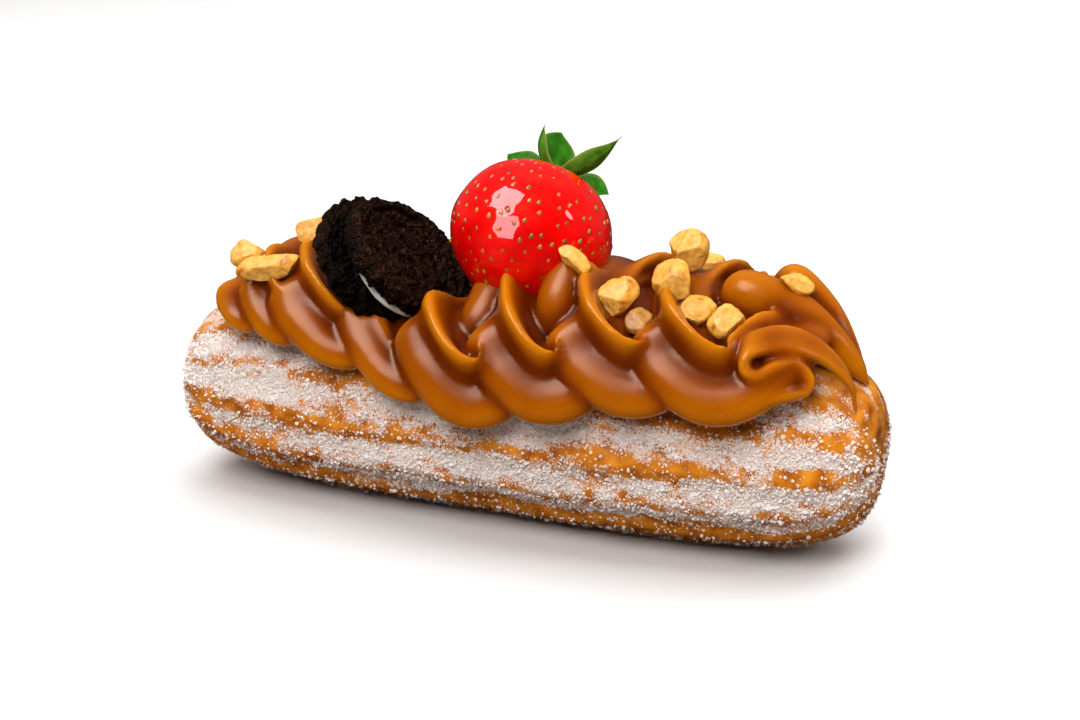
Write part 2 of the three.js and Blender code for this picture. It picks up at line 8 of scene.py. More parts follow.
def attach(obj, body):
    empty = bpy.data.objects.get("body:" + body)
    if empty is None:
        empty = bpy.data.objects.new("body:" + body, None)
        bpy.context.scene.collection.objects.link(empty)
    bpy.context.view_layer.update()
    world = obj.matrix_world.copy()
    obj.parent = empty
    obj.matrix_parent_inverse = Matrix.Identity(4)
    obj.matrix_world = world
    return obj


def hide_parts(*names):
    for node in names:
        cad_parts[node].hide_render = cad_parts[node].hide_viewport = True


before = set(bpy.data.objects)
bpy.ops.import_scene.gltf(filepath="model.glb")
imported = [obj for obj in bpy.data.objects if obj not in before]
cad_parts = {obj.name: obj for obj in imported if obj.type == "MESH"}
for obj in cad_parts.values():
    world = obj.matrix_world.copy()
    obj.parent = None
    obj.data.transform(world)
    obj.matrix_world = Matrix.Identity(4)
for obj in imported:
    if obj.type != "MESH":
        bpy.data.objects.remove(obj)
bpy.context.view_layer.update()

scene = bpy.context.scene
mm = 0.001  # sizes are in millimetres here and become metres in the meshes
print("frame loaded,", len(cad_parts), "nodes")


# numpy helpers

def smoothStep(low, high, x):
    t = np.clip((x - low) / (high - low), 0, 1)
    return t * t * (3 - 2 * t)


def unit(v):
    return v / np.maximum(np.linalg.norm(v, axis=-1, keepdims=True), 1e-12)


def blend(start, end, share):
    return start + (end - start) * share


# 1 at the middle, falling off on both sides: exp(-((x - middle) / width)^2)
def bell(x, middle, width):
    return np.exp(-(((x - middle) / width) ** 2))


def circle(count):
    return np.linspace(0, 2 * math.pi, count, endpoint=False)


noiseLength = 4096  # random values in the noise table
noiseSpread = np.array([73856093, 19349663, 83492791])  # large odd numbers that spread the cells over it


# noise from -1 to 1: random values on a cubic lattice, blended between its corners by smoothstep weights
def latticeNoise(points, pitch, seed):
    table = np.random.default_rng(seed).uniform(-1, 1, noiseLength)
    place = np.asarray(points) / pitch
    cell = np.floor(place).astype(np.int64)
    t = place - cell
    t = t * t * (3 - 2 * t)
    total = np.zeros(place.shape[:-1])
    for corner in np.ndindex(2, 2, 2):
        index = np.bitwise_xor.reduce((cell + corner) * noiseSpread, axis=-1) % noiseLength
        weight = np.prod(np.where(np.array(corner) == 1, t, 1 - t), axis=-1)
        total += weight * table[index]
    return total


# layers of lattice noise, each with half the pitch and half the strength of the one before
def layeredNoise(points, pitch, seed, layers=3):
    return sum(latticeNoise(points, pitch / 2**i, seed + i) / 2**i for i in range(layers))


# the shortest turn that takes one direction to another, as a matrix: I + K + K K / (1 + cosine)
def turnTo(start, end):
    a, b = unit(np.array(start, float)), unit(np.array(end, float))
    x, y, z = np.cross(a, b)
    k = np.array([[0, -z, y], [z, 0, -x], [-y, x, 0]])
    return np.eye(3) + k + k @ k / (1 + a @ b)


# a smooth curve through the given points, sampled evenly in its parameter (Catmull-Rom)
def smoothCurve(knots, count):
    knots = np.array(knots, float)
    ends = np.concatenate([[2 * knots[0] - knots[1]], knots, [2 * knots[-1] - knots[-2]]])
    place = np.linspace(0, len(knots) - 1, count)
    i = np.minimum(place.astype(int), len(knots) - 2)
    t = (place - i)[:, None]
    a, b, c, d = ends[i], ends[i + 1], ends[i + 2], ends[i + 3]
    return 0.5 * (2 * b + (c - a) * t + (2 * a - 5 * b + 4 * c - d) * t**2 + (3 * b - a - 3 * c + d) * t**3)


# points of an outline at even distances along it, without its two ends
def evenAlong(x, y, count, stretch=1):
    length = np.concatenate([[0], np.cumsum(np.hypot(np.diff(x), np.diff(y * stretch)))])
    even = np.linspace(0, length[-1], count + 2)[1:-1]
    return np.interp(even, length, x), np.interp(even, length, y)


# an outline's two measures and the angle round its axis, as grids
def carriedRound(x, y, cols, start=0):
    angle = np.tile(start + circle(cols), (len(x), 1))
    return np.repeat(x[:, None], cols, 1), np.repeat(y[:, None], cols, 1), angle


# mesh helpers

# a grid that is wrapped round its columns, its first and last rows each closed by a fan to their middle
def closedGrid(grid):
    rows, cols = grid.shape[:2]
    points = np.concatenate([grid.reshape(-1, 3), grid[0].mean(0)[None], grid[-1].mean(0)[None]])
    i, j = np.meshgrid(np.arange(rows - 1), np.arange(cols), indexing="ij")
    k = (j + 1) % cols
    quads = np.stack([i * cols + j, i * cols + k, (i + 1) * cols + k, (i + 1) * cols + j], -1).reshape(-1, 4)
    j, k = j[0], k[0]
    first = np.stack([np.full(cols, rows * cols), k, j], -1)
    last = np.stack([np.full(cols, rows * cols + 1), (rows - 1) * cols + j, (rows - 1) * cols + k], -1)
    return points, [quads, first, last]


# many closed shapes as one: their points end to end, their faces moved on by the points before them
def joined(shapes):
    offsets = np.cumsum([0] + [len(points) for points, faces in shapes])
    points = np.concatenate([points for points, faces in shapes])
    return points, [faces + offset for (p, sets), offset in zip(shapes, offsets) for faces in sets]


# six times the volume inside the faces, from the triple products of their corners; negative when they face in
def signedVolume(points, faceSets):
    total = 0
    for faces in faceSets:
        for k in range(1, faces.shape[1] - 1):
            a, b, c = points[faces[:, 0]], points[faces[:, k]], points[faces[:, k + 1]]
            total += np.einsum("ij,ij->", a, np.cross(b, c))
    return total


def newMesh(name, points, faceSets, smooth=True):
    if signedVolume(points, faceSets) < 0:
        faceSets = [faces[:, ::-1] for faces in faceSets]
    corners = np.concatenate([faces.ravel() for faces in faceSets])
    sizes = np.concatenate([np.full(len(faces), faces.shape[1]) for faces in faceSets])
    mesh = bpy.data.meshes.new(name)
    mesh.vertices.add(len(points))
    mesh.vertices.foreach_set("co", (points * mm).astype(np.float32).ravel())
    mesh.loops.add(len(corners))
    mesh.loops.foreach_set("vertex_index", corners.astype(np.int32))
    mesh.polygons.add(len(sizes))
    mesh.polygons.foreach_set("loop_start", np.concatenate([[0], np.cumsum(sizes)[:-1]]).astype(np.int32))
    mesh.polygons.foreach_set("use_smooth", np.full(len(sizes), smooth))
    mesh.update(calc_edges=True)
    return mesh


def setAttribute(mesh, name, values):
    mesh.attributes.new(name, "FLOAT", "POINT").data.foreach_set("value", values.astype(np.float32))


# a grid's values in the order of its closed mesh's points: the two middles of its ends come last
def withEnds(values):
    return np.concatenate([values.ravel(), values[0, :1], values[-1, :1]])


pieces = bpy.data.collections.new("pieces")  # all that is the object itself, without the floor


def addPiece(name, mesh, material, slotName, *nodes):
    piece = bpy.data.objects.new(name, mesh)
    scene.collection.objects.link(piece)
    pieces.objects.link(piece)
    mesh.materials.append(material)
    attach(piece, "root")
    if nodes:
        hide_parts(*nodes)
    return piece


# material helpers

# a node with its settings; each of its inputs is linked to a socket or set to a value
def addNode(tree, kind, values=None, **settings):
    made = tree.nodes.new(kind)
    for key, value in settings.items():
        setattr(made, key, value)
    for key, value in (values or {}).items():
        if isinstance(value, bpy.types.NodeSocket):
            tree.links.new(value, made.inputs[key])
        else:
            made.inputs[key].default_value = value
    return made


def calc(tree, operation, a, b, clamp=False):
    return addNode(tree, "ShaderNodeMath", {0: a, 1: b}, operation=operation, use_clamp=clamp).outputs[0]


# sockets 6 and 7 are the mix node's two colours, output 2 the mixed one
def mixColour(tree, share, a, b):
    return addNode(tree, "ShaderNodeMix", {0: share, 6: a, 7: b}, data_type="RGBA").outputs[2]


def ramp(tree, share, stops):
    made = addNode(tree, "ShaderNodeValToRGB", {"Fac": share})
    elements = made.color_ramp.elements
    elements[0].position, elements[0].color = stops[0]
    elements[1].position, elements[1].color = stops[-1]
    for place, colour in stops[1:-1]:
        elements.new(place).color = colour
    return made.outputs["Color"]


def rgb(r, g, b):
    return (r, g, b, 1)


def newMaterial(name, values):
    material = bpy.data.materials.new(name)
    material.use_nodes = True
    tree = material.node_tree
    shader = tree.nodes["Principled BSDF"]
    for key, value in values.items():
        shader.inputs[key].default_value = value
    return material, tree, shader


def paint(tree, shader, colour):
    tree.links.new(colour, shader.inputs["Base Color"])


# a node group of plain numbers, with its inputs and what its texture needs: the place, and a scale by Size
def newGroup(name, inputs, outputs):
    tree = bpy.data.node_groups.new(name, "ShaderNodeTree")
    for side, names in (("INPUT", inputs), ("OUTPUT", outputs)):
        for socket in names:
            tree.interface.new_socket(socket, in_out=side, socket_type="NodeSocketFloat")
    inside = addNode(tree, "NodeGroupInput").outputs
    place = addNode(tree, "ShaderNodeTexCoord").outputs["Object"]
    return tree, inside, {"Vector": place, "Scale": calc(tree, "DIVIDE", 1.0, inside["Size"])}


# grains: cells of the given size, each with its own random number; Amount is the share of them that shows
def makeGrainGroup():
    tree, inside, placed = newGroup("grains", ("Size", "Amount"), ("Mask", "Height", "Chance"))
    cells = addNode(tree, "ShaderNodeTexVoronoi", placed)
    chance = addNode(tree, "ShaderNodeSeparateColor", {"Color": cells.outputs["Color"]}).outputs[0]
    lead = calc(tree, "SUBTRACT", inside["Amount"], chance)
    mask = calc(tree, "MULTIPLY", lead, 7.0, clamp=True)
    rounded = calc(tree, "SUBTRACT", 0.7, cells.outputs["Distance"])
    height = calc(tree, "MULTIPLY", mask, rounded)
    addNode(tree, "NodeGroupOutput", {"Mask": mask, "Height": height, "Chance": chance})
    return tree


# mottle: soft noise of the given size, spread round 0.5 by the contrast
def makeMottleGroup():
    tree, inside, placed = newGroup("mottle", ("Size", "Contrast"), ("Value",))
    noise = addNode(tree, "ShaderNodeTexNoise", {**placed, "Detail": 4.0})
    centred = calc(tree, "SUBTRACT", noise.outputs["Fac"], 0.5)
    spread = calc(tree, "MULTIPLY", centred, inside["Contrast"])
    addNode(tree, "NodeGroupOutput", {"Value": calc(tree, "ADD", spread, 0.5, clamp=True)})
    return tree


grainGroup = makeGrainGroup()
mottleGroup = makeMottleGroup()


def grains(tree, size, amount):
    values = {"Size": size * mm, "Amount": amount}
    return addNode(tree, "ShaderNodeGroup", values, node_tree=grainGroup).outputs


def mottle(tree, size, contrast):
    values = {"Size": size * mm, "Contrast": contrast}
    return addNode(tree, "ShaderNodeGroup", values, node_tree=mottleGroup).outputs["Value"]


def bump(tree, shader, height, strength, distance):
    values = {"Height": height, "Strength": strength, "Distance": distance * mm}
    tree.links.new(addNode(tree, "ShaderNodeBump", values).outputs["Normal"], shader.inputs["Normal"])


def attribute(tree, name):
    return addNode(tree, "ShaderNodeAttribute", attribute_name=name).outputs["Fac"]


print("helpers ready")


# dough: a fluted log with blunt ends, pressed flat below, sugar caught in its grooves

dough = dict(
    length=150, width=47, height=43.5, flattened=1, endRoundness=4.1, rows=340, cols=276, seed=11,
    flutes=15, fluteDepth=1.1, wobble=0.05, wobbleSize=16,
    crustBump=0.28, crustSize=7, endBump=0.35, endSize=6, endMargin=0.4, lowest=0.02,
    sugarRise=0.22, grainRise=0.16, grainSize=0.9,
    crackDepth=0.45, crackWidth=0.07, crackSize=3.2, crackPatch=14,
    coat=0.08, coatGroove=0.62, coatPatches=0.46, patchSize=9, coatFine=0.5, fineSize=1.7,
    lowBand=0.36, lowAngle=109, lowWidth=9, highBand=0.3, highAngle=75, highWidth=8,
    bareRight=0.06, bareLeft=0.22, bareBelow=0.7, bareFrom=118, bareTo=142,
)
halfLength = dough["length"] / 2
halfWidth = dough["width"] / 2
halfHeight = dough["height"] / 2
middleZ = halfHeight - dough["flattened"]


# share of the full section that is left at a place along the dough: (1 - |x / half length| ^ n) ^ (1 / n)
def doughSwell(x):
    n = dough["endRoundness"]
    return np.maximum(1 - np.minimum(np.abs(x) / halfLength, 1) ** n, 0) ** (1 / n)


# rows evenly spaced along the outline from one end's middle to the other's
def doughOutline(rows):
    power = 2 / dough["endRoundness"]
    a = np.linspace(0, math.pi, 4000)
    x = -np.sign(np.cos(a)) * np.abs(np.cos(a)) ** power * halfLength
    return evenAlong(x, np.abs(np.sin(a)) ** power, rows, halfHeight)


# sugar at each point: most in the grooves, in a low and a high band along each side and in patches;
# less of it on the end caps and none below
def sugarShare(points, angle, groove, swell):
    d = dough
    around = np.abs(np.degrees(angle))
    patches = layeredNoise(points * [0.28, 1, 1], d["patchSize"], d["seed"] + 3)
    fine = layeredNoise(points * [0.5, 1, 1], d["fineSize"], d["seed"] + 7, 2)
    share = d["coat"] + d["coatGroove"] * groove + d["lowBand"] * bell(around, d["lowAngle"], d["lowWidth"])
    share += d["highBand"] * bell(around, d["highAngle"], d["highWidth"])
    share += d["coatPatches"] * patches + d["coatFine"] * fine
    share -= d["bareRight"] * (1 - smoothStep(0.45, 0.95, swell)) * smoothStep(0, 40, points[..., 0])
    share -= d["bareLeft"] * (1 - smoothStep(0.6, 1.0, swell)) * smoothStep(0, 40, -points[..., 0])
    share -= d["bareBelow"] * smoothStep(d["bareFrom"], d["bareTo"], around)
    return np.clip(share, 0, 1)


# x along the outline; y = width sin(angle), z = height cos(angle), both less the groove, plus crust and sugar
def doughSurface():
    d = dough
    x, swell, angle = carriedRound(*doughOutline(d["rows"]), d["cols"], -math.pi)
    plain = np.stack([x, halfWidth * swell * np.sin(angle), middleZ + halfHeight * swell * np.cos(angle)], -1)
    wobble = d["wobble"] * latticeNoise(plain, d["wobbleSize"], d["seed"])
    groove = 0.5 - 0.5 * np.cos(d["flutes"] * (angle + wobble + math.pi / 2))
    groove = groove * smoothStep(-1, -0.75, np.cos(angle)) * smoothStep(0.2, 0.9, swell)
    coat = sugarShare(plain, angle, groove, swell)
    crack = bell(latticeNoise(plain * [0.22, 1, 1], d["crackSize"], d["seed"] + 9), 0, d["crackWidth"])
    crack *= smoothStep(0, 0.4, latticeNoise(plain, d["crackPatch"], d["seed"] + 5))
    crack *= smoothStep(0.35, 0.8, coat)
    rise = -d["fluteDepth"] * groove * swell
    rise += d["crustBump"] * layeredNoise(plain, d["crustSize"], d["seed"] + 1, 4) * swell
    rise += coat * (d["sugarRise"] + d["grainRise"] * layeredNoise(plain, d["grainSize"], d["seed"] + 2, 2))
    rise -= d["crackDepth"] * crack
    outward = unit(np.stack([0 * x, np.sin(angle) / halfWidth, np.cos(angle) / halfHeight], -1))
    points = plain + outward * rise[..., None]
    bumps = d["endBump"] * layeredNoise(plain, d["endSize"], d["seed"] + 4)
    reach = halfLength + d["endMargin"]
    points[..., 0] = np.clip(points[..., 0] + np.sign(x) * (1 - swell) * bumps, -reach, reach)
    points[..., 2] = np.maximum(points[..., 2], d["lowest"])
    return points, coat, crack, np.degrees(angle)


def crustMaterial():
    material, tree, shader = newMaterial("sugaredCrust", {"Specular IOR Level": 0.2})
    sugared = attribute(tree, "sugar")
    crust = ramp(tree, mottle(tree, 3.2, 2.2), [
        (0.1, rgb(0.28, 0.07, 0.003)), (0.5, rgb(0.56, 0.165, 0.006)), (0.95, rgb(0.74, 0.27, 0.018))])
    # painted shade: the crust is drawn much darker along the cracks
    dark = mixColour(tree, attribute(tree, "crack"), crust, rgb(0.10, 0.03, 0.008))
    coat = grains(tree, 0.36, sugared)
    fine = grains(tree, 0.22, calc(tree, "MULTIPLY", sugared, 0.85))
    shown = calc(tree, "MAXIMUM", coat["Mask"], fine["Mask"])
    white = ramp(tree, coat["Chance"], [(0.0, rgb(0.70, 0.54, 0.46)), (1.0, rgb(0.93, 0.86, 0.82))])
    paint(tree, shader, mixColour(tree, shown, dark, white))
    rough = calc(tree, "ADD", calc(tree, "MULTIPLY", shown, 0.2), 0.4)
    tree.links.new(rough, shader.inputs["Roughness"])
    height = calc(tree, "ADD", coat["Height"], calc(tree, "MULTIPLY", fine["Height"], 0.6))
    bump(tree, shader, height, 0.8, 0.35)
    return material


doughGrid, doughSugar, doughCrack, doughAngle = doughSurface()
doughMesh = newMesh("dough", *closedGrid(doughGrid))
setAttribute(doughMesh, "sugar", withEnds(doughSugar))
setAttribute(doughMesh, "crack", withEnds(doughCrack))
addPiece("churro_dough", doughMesh, crustMaterial(), "dough", "dough")
print("dough", len(doughMesh.polygons), "faces")


# sugar crystals: small blocks and chips scattered over the dough, thickest where the sugar lies

sugar = dict(
    grains=15500, grainSize=0.32, chips=23000, chipSize=0.25, sizeSpread=0.25, stretch=0.25, sunk=0.2,
    bare=0.12, gathering=1.5, coveredTo=38, openFrom=52, seed=23,
)
blockCorners = np.array(list(np.ndindex(2, 2, 2))) - 0.5
blockFaces = np.array([[0, 1, 3, 2], [4, 6, 7, 5], [0, 4, 5, 1], [2, 3, 7, 6], [0, 2, 6, 4], [1, 5, 7, 3]])
chipCorners = np.stack([np.eye(3), -np.eye(3)], 1).reshape(-1, 3) / 2
chipFaces = np.array([
    [0, 2, 4], [2, 1, 4], [1, 3, 4], [3, 0, 4], [2, 0, 5], [1, 2, 5], [3, 1, 5], [0, 3, 5]])


# random turns: columns of a matrix from two random directions made square to each other
def randomTurns(rng, count):
    a = unit(rng.normal(size=(count, 3)))
    b = unit(np.cross(a, rng.normal(size=(count, 3))))
    return np.stack([a, b, np.cross(a, b)], -1)


# crystals on random places of the dough's grid, each chosen by its patch's area times the sugar there; the
# caramel covers the top of the dough
def scatterSugar(corners, faces, count, size, seed):
    rng = np.random.default_rng(seed)
    a, b = doughGrid[:-1], doughGrid[1:]
    c, d = np.roll(b, -1, 1), np.roll(a, -1, 1)
    normal = np.cross(b - d, c - a)
    area = np.linalg.norm(normal, axis=-1)
    uncovered = smoothStep(sugar["coveredTo"], sugar["openFrom"], np.abs(doughAngle[:-1]))
    weight = (area * (sugar["bare"] + doughSugar[:-1] ** sugar["gathering"]) * uncovered).ravel()
    chosen = rng.choice(len(weight), count, p=weight / weight.sum())
    u, v = rng.random((2, count, 1))
    a, b, c, d = (grid.reshape(-1, 3)[chosen] for grid in (a, b, c, d))
    place = (a * (1 - u) + b * u) * (1 - v) + (d * (1 - u) + c * u) * v
    outward = unit(normal.reshape(-1, 3)[chosen])
    outward *= np.sign(np.sum(outward * (place - [0, 0, middleZ]) * [0.2, 1, 1], axis=1))[:, None]
    stretch = rng.lognormal(0, sugar["sizeSpread"], (count, 1))
    sizes = size * stretch * rng.uniform(1 - sugar["stretch"], 1 + sugar["stretch"], (count, 3))
    place = place + outward * sizes.mean(1, keepdims=True) * (0.5 - sugar["sunk"])
    place[:, 2] = np.maximum(place[:, 2], sizes.max(1) * 0.9)  # no corner reaches below the floor
    shapes = np.einsum("nij,nkj->nki", randomTurns(rng, count), corners[None] * sizes[:, None])
    points = (shapes + place[:, None]).reshape(-1, 3)
    moved = faces[None] + (np.arange(count) * len(corners))[:, None, None]
    return points, [moved.reshape(-1, faces.shape[1])]


def crystalMaterial():
    material, tree, shader = newMaterial("sugarCrystal", {
        "Roughness": 0.28, "IOR": 1.54, "Specular IOR Level": 0.6})
    tint = mottle(tree, 1.1, 2.5)
    paint(tree, shader, ramp(tree, tint, [(0.0, rgb(0.78, 0.66, 0.60)), (1.0, rgb(0.95, 0.91, 0.88))]))
    return material


crystal = crystalMaterial()
for name, corners, faces, count, size, seed in (
        ("sugar_grains", blockCorners, blockFaces, sugar["grains"], sugar["grainSize"], sugar["seed"]),
        ("sugar_chips", chipCorners, chipFaces, sugar["chips"], sugar["chipSize"], sugar["seed"] + 1)):
    crystalMesh = newMesh(name, *scatterSugar(corners, faces, count, size, seed), smooth=False)
    addPiece(name, crystalMesh, crystal, "dough")
print("sugar scattered")


# caramel: a rope from a star nozzle laid in loops along the dough, drawn out into a tail; angles are degrees,
# and a ridge rises and falls by the loop's phase, 0 at its outermost point

rope = dict(
    firstTurn=-1.3, lastTurn=6.5, zeroX=-45.3, pitch=15.6, reach=6.6, climb=2.4, lean=2.4,
    crowdedFrom=-40, crowding=0.4, pressed=8.5, pressedX=-7, pressedWidth=14, settle=5, settleTurns=0.3,
    wrap=41, wrapMiddle=19, wrapMiddleWidth=24, wrapRight=7, steps=1200,
)
nozzle = dict(
    core=5.4, inside=0.5, insideTurn=235, bendLimit=0.95, corners=96,
    lobeHeight=4.4, lobePlace=20, lobeBelow=30, lobeAbove=42, lobeRise=(-60, -44),
    cornerHeight=2.6, cornerPlace=-10, cornerPhase=-38, cornerSpread=16,
    shoulderHeight=1.6, shoulderPlace=36, shoulderSpread=34,
    shoulderRise=(-150, -110), shoulderFall=(-52, -34),
    rimHeight=6.1, rimPlace=117, rimBehind=70, rimBelow=18, rimAbove=7.5, rimFrom=-0.1,
    rimRise=(-86, -62), rimSwing=(-70, -5), rimFall=(50, 105), delay=22, delayX=-14, delayWidth=11,
    dent=0.86, dentX=-21, dentWidth=11, dentPlace=104, dentSpread=60, dentRise=(-130, -85), dentFall=(40, 80),
    startScale=0.5, fullFrom=1.3, endScale=0.85, plainFrom=6.1,
)
tail = dict(
    radius=5, tip=0.25, overlap=0.11, steps=180,
    knots=[(47.4, 0.4, 49.4), (55.6, -1, 48), (62.6, -1.6, 44.4), (68.8, -1.4, 39.2), (72.1, -0.6, 34.6)],
    behindRadius=3.2,
    behind=[(51.9, 11, 48.7), (55.5, 7, 51.9), (62.6, 4.5, 47.1), (67.8, 2.5, 40.8), (72.1, -0.6, 34.6)],
)
bulges = dict(
    radius=5.2, steps=60,
    knots=[
        [(-0.5, -9, 47.7), (-1.2, -14.5, 42.8), (-3.3, -16.5, 37)],
        [(15.4, -7.5, 54.2), (14.8, -13, 48.3), (14.2, -15, 41.5)]],
)
fold = dict(
    thick=1.3, deep=3.5, proud=0.8, squareness=0.6, tip=0.3, thinFrom=0.72, steps=240,
    intoBelow=(-0.35, 0.9, -0.2), intoAbove=(-0.2, 0.8, 0.5),
    knots=[
        (53.3, -26, 35.3), (60.6, -21.8, 37.3), (64.1, -18.4, 37.9), (64.6, -17.2, 40.1), (62.2, -17.8, 42.6),
        (59.3, -20.7, 42.6), (56.4, -23.2, 41.1), (54.4, -23.8, 42.4), (54.8, -22.2, 44.3), (57.4, -19, 44.8),
        (62.1, -16.4, 44.5), (67.2, -12.6, 41.5), (70.9, -10.4, 36.9), (71.9, -9.9, 31.9)],
)
caramel = dict(
    voxel=0.585, smoothing=2, sunk=0.7,
    edges=[dict(weight=0.5, rounds=14, reach=0.55), dict(weight=0.8, rounds=70, reach=2)],
)


# way out of the dough beside it: the gradient of its elliptic section
def outwardAt(p):
    return unit((p - [0, 0, middleZ]) * [0, 1 / halfWidth**2, 1 / halfHeight**2])


# middle of the rope after a number of turns: x = pitch turn + reach sin t, angle on the dough = wrap cos t;
# it is pressed down under the toppings, and its start settles onto the dough's end
def ropeMiddle(turn):
    r = rope
    t = 2 * math.pi * turn
    x = r["zeroX"] + r["pitch"] * turn + r["reach"] * np.sin(t)
    x = x + r["crowding"] * np.maximum(r["crowdedFrom"] - x, 0)
    wrap = r["wrap"] + r["wrapMiddle"] * bell(x, 0, r["wrapMiddleWidth"])
    phi = np.radians(wrap + r["wrapRight"] * smoothStep(-20, 60, x)) * np.cos(t)
    pressed = r["pressed"] * bell(x, r["pressedX"], r["pressedWidth"]) * np.cos(phi) ** 6
    settled = r["settle"] * (1 - smoothStep(r["firstTurn"], r["firstTurn"] + r["settleTurns"], turn))
    p = np.stack([x, -halfWidth * np.sin(phi), middleZ + halfHeight * np.cos(phi)], -1)
    return p + outwardAt(p) * (r["climb"] - r["lean"] * np.sin(t) - pressed - settled)[:, None]


# one fin of the section: a bell round its place, with a width for either side
def fin(degrees, place, below, above):
    beside = (degrees - place + 180) % 360 - 180
    return bell(beside, 0, np.where(beside < 0, below, above))


# section at each turn: a round core with a broad lobe outside and a thin rim above it; both start at the left
# of a loop, the lobe with a corner and the rim swinging up, and sink away at its right; a shoulder comes before
# a front loop, and the back loops have the same lobe and rim half a turn later; the cookie dents the loops at it
def nozzleRadius(a, turn, x):
    n = nozzle
    degrees = np.degrees(a)[None]
    turn, x = turn[:, None], x[:, None]
    front = (360 * turn + 180) % 360 - 180
    shoulder = n["shoulderHeight"] * smoothStep(*n["shoulderRise"], front)
    shoulder = shoulder * (1 - smoothStep(*n["shoulderFall"], front))
    radius = n["core"] + shoulder * fin(degrees, n["shoulderPlace"], n["shoulderSpread"], n["shoulderSpread"])
    delay = n["delay"] * bell(x, n["delayX"], n["delayWidth"])
    ridged = 1 - smoothStep(n["plainFrom"] - 0.5, n["plainFrom"], turn)
    whole = smoothStep(n["rimFrom"] - 0.6, n["rimFrom"], turn)
    for side, held, kept in ((0, delay, 1), (180, 0, ridged)):
        phase = (360 * turn - side + 180) % 360 - 180
        late = phase - held
        corner = bell(phase, n["cornerPhase"], n["cornerSpread"])
        sinking = 1 - 0.5 * smoothStep(40, 110, phase) - 0.5 * smoothStep(100, 160, phase)
        lobe = (n["lobeHeight"] + n["cornerHeight"] * corner) * smoothStep(*n["lobeRise"], phase) * sinking
        lobePlace = n["lobePlace"] + n["cornerPlace"] * corner
        rim = n["rimHeight"] * smoothStep(*n["rimRise"], late) * (1 - smoothStep(*n["rimFall"], phase))
        rimPlace = blend(n["rimBehind"], n["rimPlace"], smoothStep(*n["rimSwing"], late))
        radius = radius + kept * whole * rim * fin(degrees, rimPlace, n["rimBelow"], n["rimAbove"])
        radius = radius + kept * lobe * fin(degrees, lobePlace, n["lobeBelow"], n["lobeAbove"])
    dent = n["dent"] * bell(x, n["dentX"], n["dentWidth"])
    dent = dent * smoothStep(*n["dentRise"], front) * (1 - smoothStep(*n["dentFall"], front))
    radius = radius * (1 - dent * fin(degrees, n["dentPlace"], n["dentSpread"], n["dentSpread"]))
    inside = 0.5 + 0.5 * np.cos(a - math.radians(n["insideTurn"]))
    return radius * (1 - (1 - n["inside"]) * inside**1.5)


# a section carried along a path; what would cross the middle of a bend is held back to a share of its radius
def sweep(middle, radius, a):
    along = unit(np.gradient(middle, axis=0))
    side = unit(np.cross(along, outwardAt(middle)))
    up = np.cross(side, along)
    offset = radius[..., None] * (np.cos(a)[:, None] * side[:, None] + np.sin(a)[:, None] * up[:, None])
    step = np.linalg.norm(np.gradient(middle, axis=0), axis=1, keepdims=True)
    bend = np.gradient(along, axis=0) / step
    inward = unit(bend)
    room = nozzle["bendLimit"] / np.maximum(np.linalg.norm(bend, axis=1), 1e-6)
    over = np.maximum(np.einsum("nkj,nj->nk", offset, inward) - room[:, None], 0)
    return closedGrid(middle[:, None] + offset - over[..., None] * inward[:, None])


# a sheet whose rounded edge follows a path: its section is a superellipse that stands back from the path
def foldedSheet(a):
    def squared(wave):
        return (np.sign(wave) * np.abs(wave) ** fold["squareness"])[:, None]

    share = np.linspace(0, 1, fold["steps"])[:, None]
    edge = smoothCurve(fold["knots"], fold["steps"])
    above = smoothStep(0.45, 0.62, share)
    into = unit(blend(np.array(fold["intoBelow"]), np.array(fold["intoAbove"]), above))
    across = unit(np.cross(np.gradient(edge, axis=0), into))
    thin = blend(1, fold["tip"], smoothStep(fold["thinFrom"], 1, share))[..., None]
    wide = squared(np.cos(a)) * fold["thick"] * across[:, None]
    deep = (squared(np.sin(a)) + 1) * fold["deep"] * into[:, None]
    return closedGrid(edge[:, None] + thin * (wide + deep - fold["proud"] * into[:, None]))


# a round bead along a path, its radius falling as 1 - share^2 from where it starts to thin
def taperedBead(knots, radius, thinFrom, a):
    share = np.linspace(0, 1, tail["steps"])
    thin = np.clip((share - thinFrom) / (1 - thinFrom), 0, 1) ** 2
    size = blend(radius, tail["tip"], thin)
    return sweep(smoothCurve(knots, tail["steps"]), size[:, None] * np.ones(len(a)), a)


# what lies deeper in the dough than a little is brought up to that depth
def liftedOffDough(p):
    swell = np.maximum(doughSwell(p[:, 0]), 0.05)
    share = np.hypot(p[:, 1] / (halfWidth * swell), (p[:, 2] - middleZ) / (halfHeight * swell))
    least = 1 - (dough["fluteDepth"] + caramel["sunk"]) / (halfHeight * swell)
    factor = np.where(share < least, least / np.maximum(share, 0.05), 1)
    middle = np.stack([p[:, 0], 0 * p[:, 1], 0 * p[:, 2] + middleZ], -1)
    return middle + (p - middle) * np.stack([np.ones_like(factor), factor, factor], -1)


